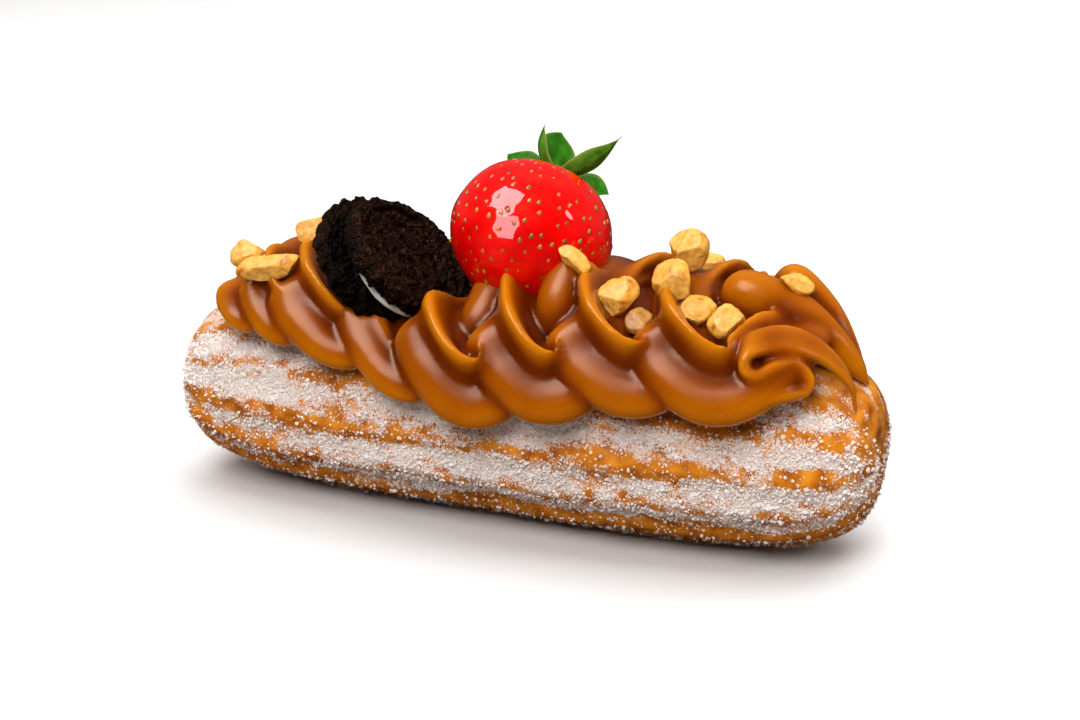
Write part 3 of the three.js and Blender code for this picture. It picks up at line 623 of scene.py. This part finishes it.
def caramelShape():
    a = circle(nozzle["corners"])
    turn = np.linspace(rope["firstTurn"], rope["lastTurn"], rope["steps"])
    begin = blend(nozzle["startScale"], 1, smoothStep(rope["firstTurn"], nozzle["fullFrom"], turn))
    end = blend(1, nozzle["endScale"], smoothStep(-0.5, 0, turn - turn[-1]))
    middle = ropeMiddle(turn)
    loops = sweep(middle, nozzleRadius(a, turn, middle[:, 0]) * (begin * end)[:, None], a)
    last = ropeMiddle(rope["lastTurn"] - np.array([tail["overlap"], 0]))
    thinFrom = len(last) / (len(tail["knots"]) + 1)
    drawn = taperedBead(np.concatenate([last, tail["knots"]]), tail["radius"], thinFrom, a)
    behind = taperedBead(tail["behind"], tail["behindRadius"], 0, a)
    even = np.full((bulges["steps"], len(a)), bulges["radius"])
    pushed = [sweep(smoothCurve(knots, bulges["steps"]), even, a) for knots in bulges["knots"]]
    points, faces = joined([loops, drawn, behind, foldedSheet(a), *pushed])
    return liftedOffDough(points), faces


# voxel skin over the overlapping sweeps, then a little smoothing, as one closed mesh
def fused(name, points, faces):
    rough = bpy.data.objects.new(name, newMesh(name, points, faces))
    scene.collection.objects.link(rough)
    skin = rough.modifiers.new("skin", "REMESH")
    skin.mode = "VOXEL"
    skin.voxel_size = caramel["voxel"] * mm
    skin.use_smooth_shade = True
    soften = rough.modifiers.new("soften", "SMOOTH")
    soften.factor = 0.5
    soften.iterations = caramel["smoothing"]
    bpy.context.view_layer.update()
    mesh = bpy.data.meshes.new_from_object(rough.evaluated_get(bpy.context.evaluated_depsgraph_get()))
    bpy.data.objects.remove(rough)
    mesh.name = name
    return mesh


def readArray(items, name, width, kind=np.float32):
    values = np.empty(len(items) * width, kind)
    items.foreach_get(name, values)
    return values.reshape(-1, width)


# how far each vertex stands out along its normal from its neighbours' mean taken many times; then evened out
def standOut(mesh, rounds, evening=3):
    place = readArray(mesh.vertices, "co", 3) / mm
    normal = readArray(mesh.vertices, "normal", 3)
    edges = readArray(mesh.edges, "vertices", 2, np.int32)
    start = np.concatenate([edges[:, 0], edges[:, 1]])
    end = np.concatenate([edges[:, 1], edges[:, 0]])
    degree = np.maximum(np.bincount(start, minlength=len(place)), 1)

    def neighbourMean(values):
        return np.bincount(start, values[end], len(place)) / degree

    smooth = place.astype(float)
    for i in range(rounds):
        smooth = np.stack([neighbourMean(smooth[:, k]) for k in range(3)], -1)
    out = np.einsum("ij,ij->i", place - smooth, normal)
    for i in range(evening):
        out = neighbourMean(out)
    return out


def caramelMaterial():
    material, tree, shader = newMaterial("pipedCaramel", {
        "IOR": 1.45, "Specular IOR Level": 0.4, "Specular Tint": rgb(1, 0.75, 0.55),
        "Coat Weight": 0.05, "Coat Roughness": 0.16,
        "Subsurface Weight": 0.12, "Subsurface Radius": (0.9, 0.35, 0.05), "Subsurface Scale": 3 * mm})
    cloudy = calc(tree, "MULTIPLY", calc(tree, "SUBTRACT", mottle(tree, 9, 1.6), 0.5), 0.12)
    # painted shade and glow: by the relief measure, dark red-brown in the creases and bright orange on the thin
    # edges, as if lit through
    edge = calc(tree, "ADD", calc(tree, "MULTIPLY", attribute(tree, "edge"), 0.5), 0.5)
    paint(tree, shader, ramp(tree, calc(tree, "ADD", edge, cloudy), [
        (0.0, rgb(0.05, 0.005, 0.0001)), (0.36, rgb(0.13, 0.018, 0.0002)), (0.55, rgb(0.21, 0.037, 0.0003)),
        (0.75, rgb(0.34, 0.080, 0.0005)), (1.0, rgb(0.48, 0.145, 0.001))]))
    rough = calc(tree, "ADD", calc(tree, "MULTIPLY", mottle(tree, 5, 2.0), 0.06), 0.12)
    tree.links.new(rough, shader.inputs["Roughness"])
    bump(tree, shader, mottle(tree, 0.2, 4.0), 0.5, 0.02)
    return material


caramelMesh = fused("caramel", *caramelShape())
# the relief measure that paints shade into the caramel's creases and a glow onto its thin edges
caramelShadeAndGlow = sum(e["weight"] * standOut(caramelMesh, e["rounds"]) / e["reach"] for e in caramel["edges"])
setAttribute(caramelMesh, "edge", np.clip(caramelShadeAndGlow, -1, 1))
addPiece("piped_caramel", caramelMesh, caramelMaterial(), "caramel", "caramel")
print("caramel", len(caramelMesh.polygons), "faces")


# sandwich cookie: two dark crumbly wafers with cream between them, gaping towards the front

cookie = dict(
    radius=14.8, wafer=4.1, rimWidth=2.4, rimHeight=0.6, notches=20, notchDepth=0.35, innerRound=0.5,
    edgeRound=0.6, outerRound=0.7, crumb=0.5, crumbSize=1.8, pitSize=0.75, rows=170, cols=340, seed=41,
    cream=2.4, creamInset=4.6, creamRound=0.8, creamGap=0.28, creamSlide=(0.95, -2.2, -1.06), creamCols=180,
    place=(-17.9, -11.5, 54.6), facing=(0.689, -0.053, 0.723),
    backPlace=(-25.9, -9.4, 52.2), backFacing=(0.76, -0.157, 0.631), gapReach=1.3,
    relief=0.34, ribs=36, ribsFrom=(9.8, 10.3), ribsTo=(11.4, 11.9),
    scallops=6, scallopRadius=8.4, scallopDepth=0.6, scallopWidth=0.42,
    petals=3, petalStart=0.9, petalLength=4.6, petalWidth=0.5, petalsTo=(6.2, 6.8),
)
cookieTurn = turnTo((0, 1, 0), cookie["facing"])
backTurn = turnTo((0, 1, 0), cookie["backFacing"])
creamSlide = cookieTurn.T @ np.array(cookie["creamSlide"]) * [1, 0, 1]


# raised design of a wafer's face: ribs along the rim, a ring of scallops and a six-petalled middle
def waferRelief(r, a):
    c = cookie
    rib = 0.5 + 0.5 * np.cos(c["ribs"] * a)
    rib = rib * smoothStep(*c["ribsFrom"], r) * (1 - smoothStep(*c["ribsTo"], r))
    ring = c["scallopRadius"] + c["scallopDepth"] * np.abs(np.sin(c["scallops"] * a))
    scallop = bell(r, ring, c["scallopWidth"])
    petal = bell(r, c["petalStart"] + c["petalLength"] * np.abs(np.cos(c["petals"] * a)), c["petalWidth"])
    petal = petal * (1 - smoothStep(*c["petalsTo"], r))
    return c["relief"] * np.maximum(np.maximum(rib, scallop), petal)


# a lathe outline from the inner face's middle round the notched edge to the outer face's, roughened by crumb
def waferSurface(seed):
    c = cookie
    radius, top = c["radius"], c["wafer"]
    rim = radius - c["rimWidth"]
    floor = top - c["rimHeight"]
    outline = np.array([
        (0, 0), (radius - c["innerRound"], 0), (radius, c["edgeRound"]), (radius, top - c["edgeRound"]),
        (radius - c["outerRound"], top), (rim, top), (rim - 0.5, floor), (0, floor)])
    r, y, a = carriedRound(*evenAlong(*outline.T, c["rows"]), c["cols"])
    y = y + waferRelief(r, a) * smoothStep(0.7, 0.95, y / top) * (r < rim)
    edge = smoothStep(radius - 1.2, radius - 0.2, r)
    notched = r - c["notchDepth"] * smoothStep(-0.2, 0.4, np.cos(c["notches"] * a)) * edge
    p = np.stack([notched * np.sin(a), y, notched * np.cos(a)], -1)
    n = unit(np.cross(np.gradient(p, axis=1), np.gradient(p, axis=0)))
    n *= np.where(np.sum(n * (p - [0, top / 2, 0]), axis=-1, keepdims=True) < 0, -1, 1)
    crumb = layeredNoise(p, c["crumbSize"], seed, 3) + 0.8 * np.abs(latticeNoise(p, c["pitSize"], seed + 5))
    return p + n * (c["crumb"] * (crumb - 0.75) * smoothStep(0, 2, r))[..., None]


# cream: a disc with a rounded, uneven edge
def creamSurface():
    c = cookie
    q = np.linspace(-math.pi / 2, math.pi / 2, 26)
    thick = c["cream"] / 2 - c["creamGap"]
    rim = c["radius"] - c["creamInset"] - c["creamRound"]
    flat = np.linspace(0.5, rim, 14)
    r = np.concatenate([flat, rim + c["creamRound"] * np.cos(q), flat[::-1]])
    y = np.concatenate([0 * flat - thick, thick * np.sin(q), 0 * flat + thick])
    r, y, a = carriedRound(r, y, c["creamCols"])
    p = np.stack([r * np.sin(a), y, r * np.cos(a)], -1)
    swell = 1 + 0.03 * layeredNoise(p, 3, c["seed"] + 9, 2) * smoothStep(rim - 3, rim, r)
    return p * np.stack([swell, np.ones_like(swell), swell], -1)


def placeCookie(grid, along, slid=(0, 0, 0)):
    return (grid + [0, along, 0] + np.array(slid)) @ cookieTurn.T + cookie["place"]


# painted shade: 1 behind the front wafer and beside its inner edge, falling off with the distance from there
def gapShade(points):
    c = cookie
    local = (points - c["place"]) @ cookieTurn
    beside = np.maximum(np.hypot(local[:, 0], local[:, 2]) - c["radius"], 0)
    above = np.maximum(local[:, 1] + c["wafer"] - 0.6, 0)
    return bell(np.hypot(beside, above), 0, c["gapReach"])


def waferMaterial():
    material, tree, shader = newMaterial("darkWafer", {
        "Roughness": 0.6, "Specular IOR Level": 0.18, "Specular Tint": rgb(1, 0.62, 0.45)})
    colour = ramp(tree, mottle(tree, 1.4, 2.4), [
        (0.15, rgb(0.0015, 0.0005, 0.0003)), (0.6, rgb(0.006, 0.0016, 0.0009)),
        (0.95, rgb(0.03, 0.009, 0.004))])
    # painted glints: a few warm brown specks that stand in for crumbs catching the light
    paintedGlints = mixColour(tree, grains(tree, 0.3, 0.06)["Mask"], colour, rgb(0.17, 0.07, 0.028))
    # painted shadow: the wafer goes near black where the gap behind the front wafer lies in shade
    paint(tree, shader, mixColour(tree, attribute(tree, "gapShadow"), paintedGlints, rgb(0.0004, 0.0002, 0.0001)))
    height = calc(tree, "ADD", grains(tree, 0.5, 0.8)["Height"], mottle(tree, 0.9, 2.6))
    bump(tree, shader, height, 1.0, 0.45)
    return material


def creamMaterial():
    material, tree, shader = newMaterial("sugarCream", {"Roughness": 0.6})
    tint = mottle(tree, 1.2, 2.0)
    paint(tree, shader, ramp(tree, tint, [(0.1, rgb(0.40, 0.38, 0.34)), (0.9, rgb(0.62, 0.60, 0.55))]))
    bump(tree, shader, mottle(tree, 0.5, 2.0), 0.35, 0.2)
    return material


wafer = waferMaterial()
frontGrid = placeCookie(waferSurface(cookie["seed"]), -cookie["wafer"])
backGrid = waferSurface(cookie["seed"] + 20) * [1, -1, -1] @ backTurn.T + cookie["backPlace"]
creamGrid = placeCookie(creamSurface(), -cookie["wafer"] - cookie["cream"] / 2, creamSlide)
for side, grid in (("front", frontGrid), ("back", backGrid)):
    points, faces = closedGrid(grid)
    waferMesh = newMesh(f"cookie_{side}", points, faces)
    setAttribute(waferMesh, "gapShadow", gapShade(points))
    addPiece(f"cookie_{side}", waferMesh, wafer, "wafer", f"cookie_wafer_{side}")
creamMesh = newMesh("cookieFilling", *closedGrid(creamGrid))
addPiece("cookie_filling", creamMesh, creamMaterial(), "cream", "cookie_cream")
print("cookie done")


# strawberry: an egg shape with its tip down, seeds in shallow pits, under a clear glaze

strawberry = dict(
    radius=16.4, shoulder=15.6, tip=14.6, taper=0.1, dimple=2.2, dimpleWidth=0.32, lumps=0.2, lumpSize=9,
    place=(3, -1.6, 57.4), axis=(0.17, 0.58, 0.8), rows=150, cols=240, seed=57,
    seeds=330, seedsBelow=0.86, seedShift=0.035, seedLength=1.2, seedWidth=0.8, seedHeight=0.46, seedSunk=0.1,
    pit=0.1, pitWidth=0.75,
)
berryTurn = turnTo((0, 1, 0), strawberry["axis"])


# sphere directions to points: radius shrinks below by the taper, the top dips under the leaves
def berryPoints(v):
    s = strawberry
    level = v[..., 1]
    radius = s["radius"] * (1 - s["taper"] * np.maximum(0, -level) ** 2)
    away = np.hypot(v[..., 0], v[..., 2])
    dimple = np.where(level > 0, s["dimple"] * bell(away, 0, s["dimpleWidth"]), 0)
    along = level * np.where(level > 0, s["shoulder"], s["tip"]) - dimple
    return np.stack([v[..., 0] * radius, along, v[..., 2] * radius], -1)


# directions spread evenly over a sphere by the golden angle, each moved a little
def spreadDirections(count, seed):
    rng = np.random.default_rng(seed)
    i = np.arange(count) + 0.5
    level = 1 - 2 * i / count
    around = math.pi * (3 - math.sqrt(5)) * i
    away = np.sqrt(1 - level**2)
    v = np.stack([away * np.cos(around), level, away * np.sin(around)], -1)
    return unit(v + rng.normal(0, strawberry["seedShift"], v.shape))


# a grid of directions from the pole at +y to the one at -y
def sphereDirections(rows, cols):
    polar = np.linspace(0, math.pi, rows + 2)[1:-1]
    polar, around = np.meshgrid(polar, circle(cols), indexing="ij")
    return np.stack([np.sin(polar) * np.sin(around), np.cos(polar), np.sin(polar) * np.cos(around)], -1)


# the berry's points moved out by soft lumps and in by a bell round each seed
def berrySurface(seeds):
    s = strawberry
    v = sphereDirections(s["rows"], s["cols"])
    p = berryPoints(v)
    distance = np.linalg.norm(p[:, :, None] - berryPoints(seeds), axis=-1).min(-1)
    lumps = s["lumps"] * layeredNoise(p, s["lumpSize"], s["seed"], 2)
    return p + v * (lumps - s["pit"] * bell(distance, 0, s["pitWidth"]))[..., None]


# seeds: flattened drops lying in the pits, their narrow ends towards the leaves
def seedShapes(seeds):
    s = strawberry
    rng = np.random.default_rng(s["seed"] + 2)
    ball = sphereDirections(7, 10)
    drop = ball * np.array([s["seedWidth"], s["seedLength"], s["seedHeight"]]) / 2
    drop[..., 0] *= 1 - 0.45 * ball[..., 1]
    shapes = []
    for out, place in zip(seeds, berryPoints(seeds)):
        up = unit(np.array([0, 1, 0]) - out * out[1])
        basis = np.stack([np.cross(up, out), up, out], -1)
        shapes.append(closedGrid(drop * rng.uniform(0.8, 1.12) @ basis.T + place - out * s["seedSunk"]))
    return joined(shapes)


def placeBerry(p):
    return p @ berryTurn.T + strawberry["place"]


def berryMaterial():
    material, tree, shader = newMaterial("glazedBerry", {
        "Roughness": 0.4, "IOR": 1.4, "Specular IOR Level": 0.05, "Coat Weight": 1.0, "Coat Roughness": 0.03,
        "Coat IOR": 1.55, "Subsurface Weight": 0.1, "Subsurface Radius": (1.0, 0.1, 0.05),
        "Subsurface Scale": 3 * mm})
    paint(tree, shader, ramp(tree, mottle(tree, 6, 2.0), [
        (0.1, rgb(0.58, 0.0005, 0.0003)), (0.6, rgb(0.80, 0.001, 0.0005)), (0.95, rgb(0.86, 0.010, 0.002))]))
    bump(tree, shader, mottle(tree, 2.6, 1.4), 0.05, 0.25)
    return material


def seedMaterial():
    material, tree, shader = newMaterial("berrySeed", {
        "Roughness": 0.35, "Coat Weight": 0.8, "Coat Roughness": 0.05})
    paint(tree, shader, ramp(tree, mottle(tree, 4.5, 3.5), [
        (0.1, rgb(0.11, 0.08, 0.012)), (0.5, rgb(0.27, 0.15, 0.022)), (0.95, rgb(0.52, 0.21, 0.03))]))
    return material


seedDirections = spreadDirections(strawberry["seeds"], strawberry["seed"])
seedDirections = seedDirections[seedDirections[:, 1] < strawberry["seedsBelow"]]  # none under the leaves
berryMesh = newMesh("strawberry", *closedGrid(placeBerry(berrySurface(seedDirections))))
glazed = bpy.data.collections.new("glazed")
glazed.objects.link(addPiece("strawberry_fruit", berryMesh, berryMaterial(), "strawberry", "strawberry"))
seedPoints, seedFaces = seedShapes(seedDirections)
seedMesh = newMesh("strawberrySeeds", placeBerry(seedPoints), seedFaces)
addPiece("strawberry_seeds", seedMesh, seedMaterial(), "strawberry")
print("strawberry with", len(seedDirections), "seeds")


# leaves on the strawberry: thin cupped blades that rise from the dimple

calyx = dict(
    thickness=0.7, lift=0.8, cupped=1.1, wave=0.25, ribDepth=0.3, ribWidth=0.14, edge=0.12, rows=40, cols=28,
    leaves=[
        dict(turn=178, pale=0.0, reach=13.2, width=6, rise=2.2, blunt=2, twist=-60, curl=0),
        dict(turn=-135, pale=0.8, reach=6.4, width=5.6, rise=8.9, blunt=0.9, twist=0, curl=1.2),
        dict(turn=150, pale=0.1, reach=5.4, width=9, rise=10, blunt=2, twist=0, curl=0.3),
        dict(turn=-12, pale=0.9, reach=12, width=6, rise=10, blunt=0.85, twist=0, curl=0.2),
        dict(turn=25, pale=0.2, reach=11, width=7, rise=0.2, blunt=2, twist=50, curl=0),
        dict(turn=75, pale=0.2, reach=9.5, width=8, rise=2, blunt=1.4, twist=0, curl=0)],
)
calyxBase = strawberry["shoulder"] - strawberry["dimple"] + calyx["lift"]


# a flat elliptic section along the leaf: width by a sine that closes at the tip, height rise * along^1.7 plus
# the cup, turned about the leaf's length by its twist; its end curls back
def leafSurface(leaf, number):
    c = calyx
    along = np.linspace(0, 1, c["rows"]) ** 0.85
    along, q = np.meshgrid(along, circle(c["cols"]), indexing="ij")
    arch = np.sin(math.pi * along)
    half = 0.5 * leaf["width"] * (0.22 + 0.78 * np.sin(math.pi * along ** leaf["blunt"]).clip(0) ** 0.6)
    half = np.maximum(half * (1 - along ** (5 * leaf["blunt"])) ** (1 / leaf["blunt"]), c["edge"])
    across = np.cos(q)
    ripple = c["wave"] * np.sin(9 * along + 2.1 * number) * across**2 * np.sign(across)
    rib = -c["ribDepth"] * bell(across, 0, c["ribWidth"]) * arch
    over = c["cupped"] * across**2 * arch + ripple + rib
    over = over + 0.5 * c["thickness"] * (1 - 0.5 * along) * np.sin(q)
    twist = math.radians(leaf["twist"]) * smoothStep(0, 0.5, along)
    sideways = half * across * np.cos(twist) - over * np.sin(twist)
    height = leaf["rise"] * along**1.7 + half * across * np.sin(twist) + over * np.cos(twist)
    p = np.stack([sideways, height, leaf["reach"] * along * (1 + leaf["curl"] * (1 - along))], -1)
    spin = np.array(Matrix.Rotation(math.radians(leaf["turn"] + 90), 3, "Y"))
    return p @ spin.T + [0, calyxBase, 0], np.abs(across)


def leafMaterial():
    material, tree, shader = newMaterial("berryLeaf", {"Roughness": 0.55, "Specular IOR Level": 0.08})
    shade = mottle(tree, 2.2, 2.2)
    green = ramp(tree, shade, [(0.1, rgb(0.005, 0.06, 0.001)), (0.9, rgb(0.026, 0.17, 0.003))])
    light = ramp(tree, shade, [(0.1, rgb(0.03, 0.13, 0.005)), (0.9, rgb(0.10, 0.30, 0.02))])
    green = mixColour(tree, attribute(tree, "pale"), green, light)
    margin = calc(tree, "MULTIPLY", calc(tree, "POWER", attribute(tree, "across"), 8.0), 0.6)
    paint(tree, shader, mixColour(tree, margin, green, rgb(0.32, 0.40, 0.10)))
    bump(tree, shader, mottle(tree, 0.6, 2.0), 0.3, 0.2)
    return material


leafGrids, leafAcross = zip(*[leafSurface(leaf, i) for i, leaf in enumerate(calyx["leaves"])])
leafPoints, leafFaces = joined([closedGrid(grid) for grid in leafGrids])
leafMesh = newMesh("calyx", placeBerry(leafPoints), leafFaces)
leafPale = [np.full(across.size + 2, leaf["pale"]) for leaf, across in zip(calyx["leaves"], leafAcross)]
setAttribute(leafMesh, "across", np.concatenate([[*across.ravel(), 0, 0] for across in leafAcross]))
setAttribute(leafMesh, "pale", np.concatenate(leafPale))
addPiece("strawberry_leaves", leafMesh, leafMaterial(), "leaf", "strawberry_calyx")
print("leaves done")


# peanut pieces: lumps with a few flat chopped faces

peanut = dict(
    cuts=6, cutDepth=0.72, softness=0.06, rough=0.24, lumpSize=1.8, rows=44, cols=60, seed=71,
    pieces=[
        dict(at=(-55.3, -13.6, 51.1), up=(0.1, -0.6, 0.8), turn=20, size=(7.4, 6.8, 6)),
        dict(at=(-47.5, -18, 50.4), up=(0, -0.5, 0.86), turn=21, size=(14, 6.6, 5.2)),
        dict(at=(-42.7, -8.3, 56.2), up=(0.2, -0.5, 0.84), turn=60, size=(7.8, 6.8, 6)),
        dict(at=(17.6, -13.8, 56.8), up=(0.6, -0.45, 0.66), turn=-6, size=(8.6, 3.8, 3.6)),
        dict(at=(26.5, -14.6, 51), up=(-0.2, -0.65, 0.73), turn=35, size=(9, 8, 6.6)),
        dict(at=(31.9, -16.2, 46.6), up=(0.5, -0.5, 0.7), turn=10, size=(6.4, 6, 5), dark=0.75),
        dict(at=(35.3, 0.6, 57.4), up=(-0.1, -0.6, 0.8), turn=75, size=(9, 7.8, 8.6)),
        dict(at=(37.1, -14, 55.2), up=(-0.3, -0.7, 0.65), turn=-60, size=(9.4, 7.8, 7)),
        dict(at=(41.6, -15, 49.9), up=(0.1, -0.6, 0.79), turn=20, size=(8.4, 6.4, 5.4)),
        dict(at=(48.4, -15.8, 48.7), up=(0.25, -0.65, 0.7), turn=60, size=(7.6, 6.4, 5.2)),
        dict(at=(57.5, -0.9, 53.2), up=(0.35, -0.2, 0.9), turn=10, size=(7, 4.6, 3.8)),
        dict(at=(-52.8, 15.7, 49.7), up=(-0.4, 0.5, 0.76), turn=25, size=(8.6, 7.2, 6)),
        dict(at=(33.1, 19.1, 50.1), up=(0.1, 0.6, 0.8), turn=-30, size=(9, 7.6, 6)),
        dict(at=(49.5, 15.3, 47.3), up=(0.3, 0.2, 0.9), turn=50, size=(8, 6.6, 5.6))],
)


# a unit ball with what lies beyond each chopping plane pressed back onto it, stretched to size, roughened and
# turned into place
def peanutSurface(piece, number):
    p = sphereDirections(peanut["rows"], peanut["cols"])
    chopped = np.zeros(p.shape[:2])
    for i in range(peanut["cuts"]):
        around = 2.4 * i + 1.3 * number
        across = math.cos(1.7 * i + number)
        flat = math.sqrt(1 - across**2)
        facing = np.array([flat * math.cos(around), flat * math.sin(around), across])
        beyond = np.maximum(p @ facing - peanut["cutDepth"], 0)
        p = p - beyond[..., None] * facing
        chopped = np.maximum(chopped, smoothStep(0, peanut["softness"], beyond))
    p = p * (np.array(piece["size"]) / 2)
    lumps = layeredNoise(p + 40 * number, peanut["lumpSize"], peanut["seed"])  # other noise for each piece
    p = p + unit(p) * (peanut["rough"] * lumps)[..., None]
    spin = np.array(Matrix.Rotation(math.radians(piece["turn"]), 3, "Z"))
    return p @ spin.T @ turnTo((0, 0, 1), piece["up"]).T + np.array(piece["at"]), chopped


def peanutMaterial():
    material, tree, shader = newMaterial("roastedPeanut", {
        "Roughness": 0.42, "Subsurface Weight": 0.12, "Subsurface Radius": (1.0, 0.5, 0.15),
        "Subsurface Scale": 1.5 * mm})
    roast = ramp(tree, mottle(tree, 2.4, 2.6), [
        (0.1, rgb(0.36, 0.11, 0.006)), (0.45, rgb(0.68, 0.30, 0.03)), (0.9, rgb(0.82, 0.43, 0.07))])
    cut = ramp(tree, mottle(tree, 1.1, 2.0), [(0.1, rgb(0.62, 0.28, 0.03)), (0.9, rgb(0.82, 0.45, 0.095))])
    plain = mixColour(tree, attribute(tree, "chopped"), roast, cut)
    burnt = ramp(tree, mottle(tree, 1.6, 2.6), [(0.1, rgb(0.16, 0.045, 0.004)), (0.9, rgb(0.52, 0.21, 0.03))])
    paint(tree, shader, mixColour(tree, attribute(tree, "dark"), plain, burnt))
    bump(tree, shader, mottle(tree, 0.8, 2.4), 0.35, 0.25)
    return material


peanutLook = peanutMaterial()
for number, piece in enumerate(peanut["pieces"]):
    grid, chopped = peanutSurface(piece, number)
    mesh = newMesh(f"peanut{number + 1:02d}", *closedGrid(grid))
    setAttribute(mesh, "chopped", withEnds(chopped))
    setAttribute(mesh, "dark", np.full(len(mesh.vertices), piece.get("dark", 0)))
    addPiece(f"peanut_piece_{number + 1:02d}", mesh, peanutLook, "peanut", f"peanut_{number + 1:02d}")
print(len(peanut["pieces"]), "peanut pieces")


# stage: pale floor, soft boxes and the camera

camera = dict(
    azimuth=23.5, elevation=18.0, distance=370.6, target=(0, 0, 25), focal=1800, centre=(520.3, 388.2),
    frame=(1080, 720), sensor=36,
)
softBoxes = dict(  # metres and watts; onto names what a light is kept to
    fillFront=dict(place=(0.05, -0.58, 0.62), size=(0.4, 0.5), power=4.2, mirrored=False),
    keyFront=dict(place=(0.05, -0.58, 0.62), size=(0.4, 0.5), power=4.6, mirrored=False, onto=pieces),
    window=dict(place=(-0.2, -0.7, 0.29), size=(0.4, 0.6), power=5.0, lighting=False, onto=glazed),
    overhead=dict(place=(-0.33, -0.37, 0.79), size=(0.62, 0.56), power=9.5, lighting=False),
    smallRight=dict(place=(0.67, 0.03, 0.47), size=(0.12, 0.2), power=0.6),
    ceiling=dict(place=(0, 0.6, 1.2), aim=(0, 0.6, 0), size=(1.8, 1.9), power=26, mirrored=False),
)


def addAimed(name, data, place, direction):
    made = bpy.data.objects.new(name, data)
    made.location = place
    made.rotation_mode = "QUATERNION"
    made.rotation_quaternion = Vector(direction).to_track_quat("-Z", "Y")
    scene.collection.objects.link(made)
    return made


# placed by its angles round the target, and aimed so that the target falls on the given point of the picture
def makeCamera():
    c = camera
    a, e = math.radians(c["azimuth"]), math.radians(c["elevation"])
    back = np.array([math.sin(a) * math.cos(e), -math.cos(a) * math.cos(e), math.sin(e)])
    right = np.array([math.cos(a), math.sin(a), 0])
    up = np.cross(back, right)
    aside, below = (np.array(c["frame"]) / 2 - c["centre"]) / c["focal"]
    lens = bpy.data.cameras.new("camera")
    lens.sensor_width = c["sensor"]
    lens.lens = c["focal"] / c["frame"][0] * c["sensor"]
    lens.clip_start = 0.01
    place = (np.array(c["target"]) + back * c["distance"]) * mm
    scene.camera = addAimed("camera", lens, place, aside * right - below * up - back)


# a light that is not mirrored shows in no reflection, one that is not lighting shows in nothing else
def addSoftBox(name, place, size, power, aim=(0, 0, 0.05), mirrored=True, lighting=True, onto=None):
    light = bpy.data.lights.new(name, "AREA")
    light.shape = "RECTANGLE"
    light.size, light.size_y = size
    light.energy = power
    made = addAimed(name, light, place, Vector(aim) - Vector(place))
    made.visible_glossy = mirrored
    made.visible_diffuse = lighting
    if onto:
        made.light_linking.receiver_collection = onto


# one colour for what the camera sees, one for reflections and one for the light that things get
def byRay(tree, seen, mirrored, given):
    path = addNode(tree, "ShaderNodeLightPath").outputs
    unseen = mixColour(tree, path["Is Glossy Ray"], given, mirrored)
    return mixColour(tree, path["Is Camera Ray"], unseen, seen)


# surroundings: dim on the viewer's side, brighter behind and dimmer in reflections; the camera sees white
def makeWorld():
    world = bpy.data.worlds.new("studio")
    world.use_nodes = True
    tree = world.node_tree
    coords = addNode(tree, "ShaderNodeTexCoord")
    depth = addNode(tree, "ShaderNodeSeparateXYZ", {"Vector": coords.outputs["Generated"]}).outputs["Y"]
    place = calc(tree, "ADD", calc(tree, "MULTIPLY", depth, 0.5), 0.5)
    shade = ramp(tree, place, [(0.25, rgb(0.12, 0.115, 0.11)), (0.8, rgb(0.46, 0.45, 0.44))])
    mirrored = ramp(tree, place, [(0.25, rgb(0.01, 0.01, 0.01)), (0.8, rgb(0.12, 0.12, 0.12))])
    shown = byRay(tree, rgb(0.97, 0.97, 0.965), mirrored, shade)
    tree.links.new(shown, tree.nodes["Background"].inputs["Color"])
    scene.world = world


# the object gets dimmer and warmer light back from the floor than the camera sees there
def makeFloor(half=3.0):
    mesh = bpy.data.meshes.new("floor")
    corners = [(-half, -half, 0), (half, -half, 0), (half, half, 0), (-half, half, 0)]
    mesh.from_pydata(corners, [], [(0, 1, 2, 3)])
    floor = bpy.data.objects.new("floor", mesh)
    material, tree, shader = newMaterial("paleFloor", {"Roughness": 0.8})
    shade = ramp(tree, mottle(tree, 60, 1.0), [(0.0, rgb(0.90, 0.90, 0.895)), (1.0, rgb(0.92, 0.92, 0.915))])
    paint(tree, shader, byRay(tree, shade, rgb(0.012, 0.009, 0.006), rgb(0.34, 0.29, 0.25)))
    mesh.materials.append(material)
    scene.collection.objects.link(floor)


makeCamera()
makeFloor()
makeWorld()
for name, light in softBoxes.items():
    addSoftBox(name, **light)
scene.view_settings.view_transform = "Standard"
print("stage ready")
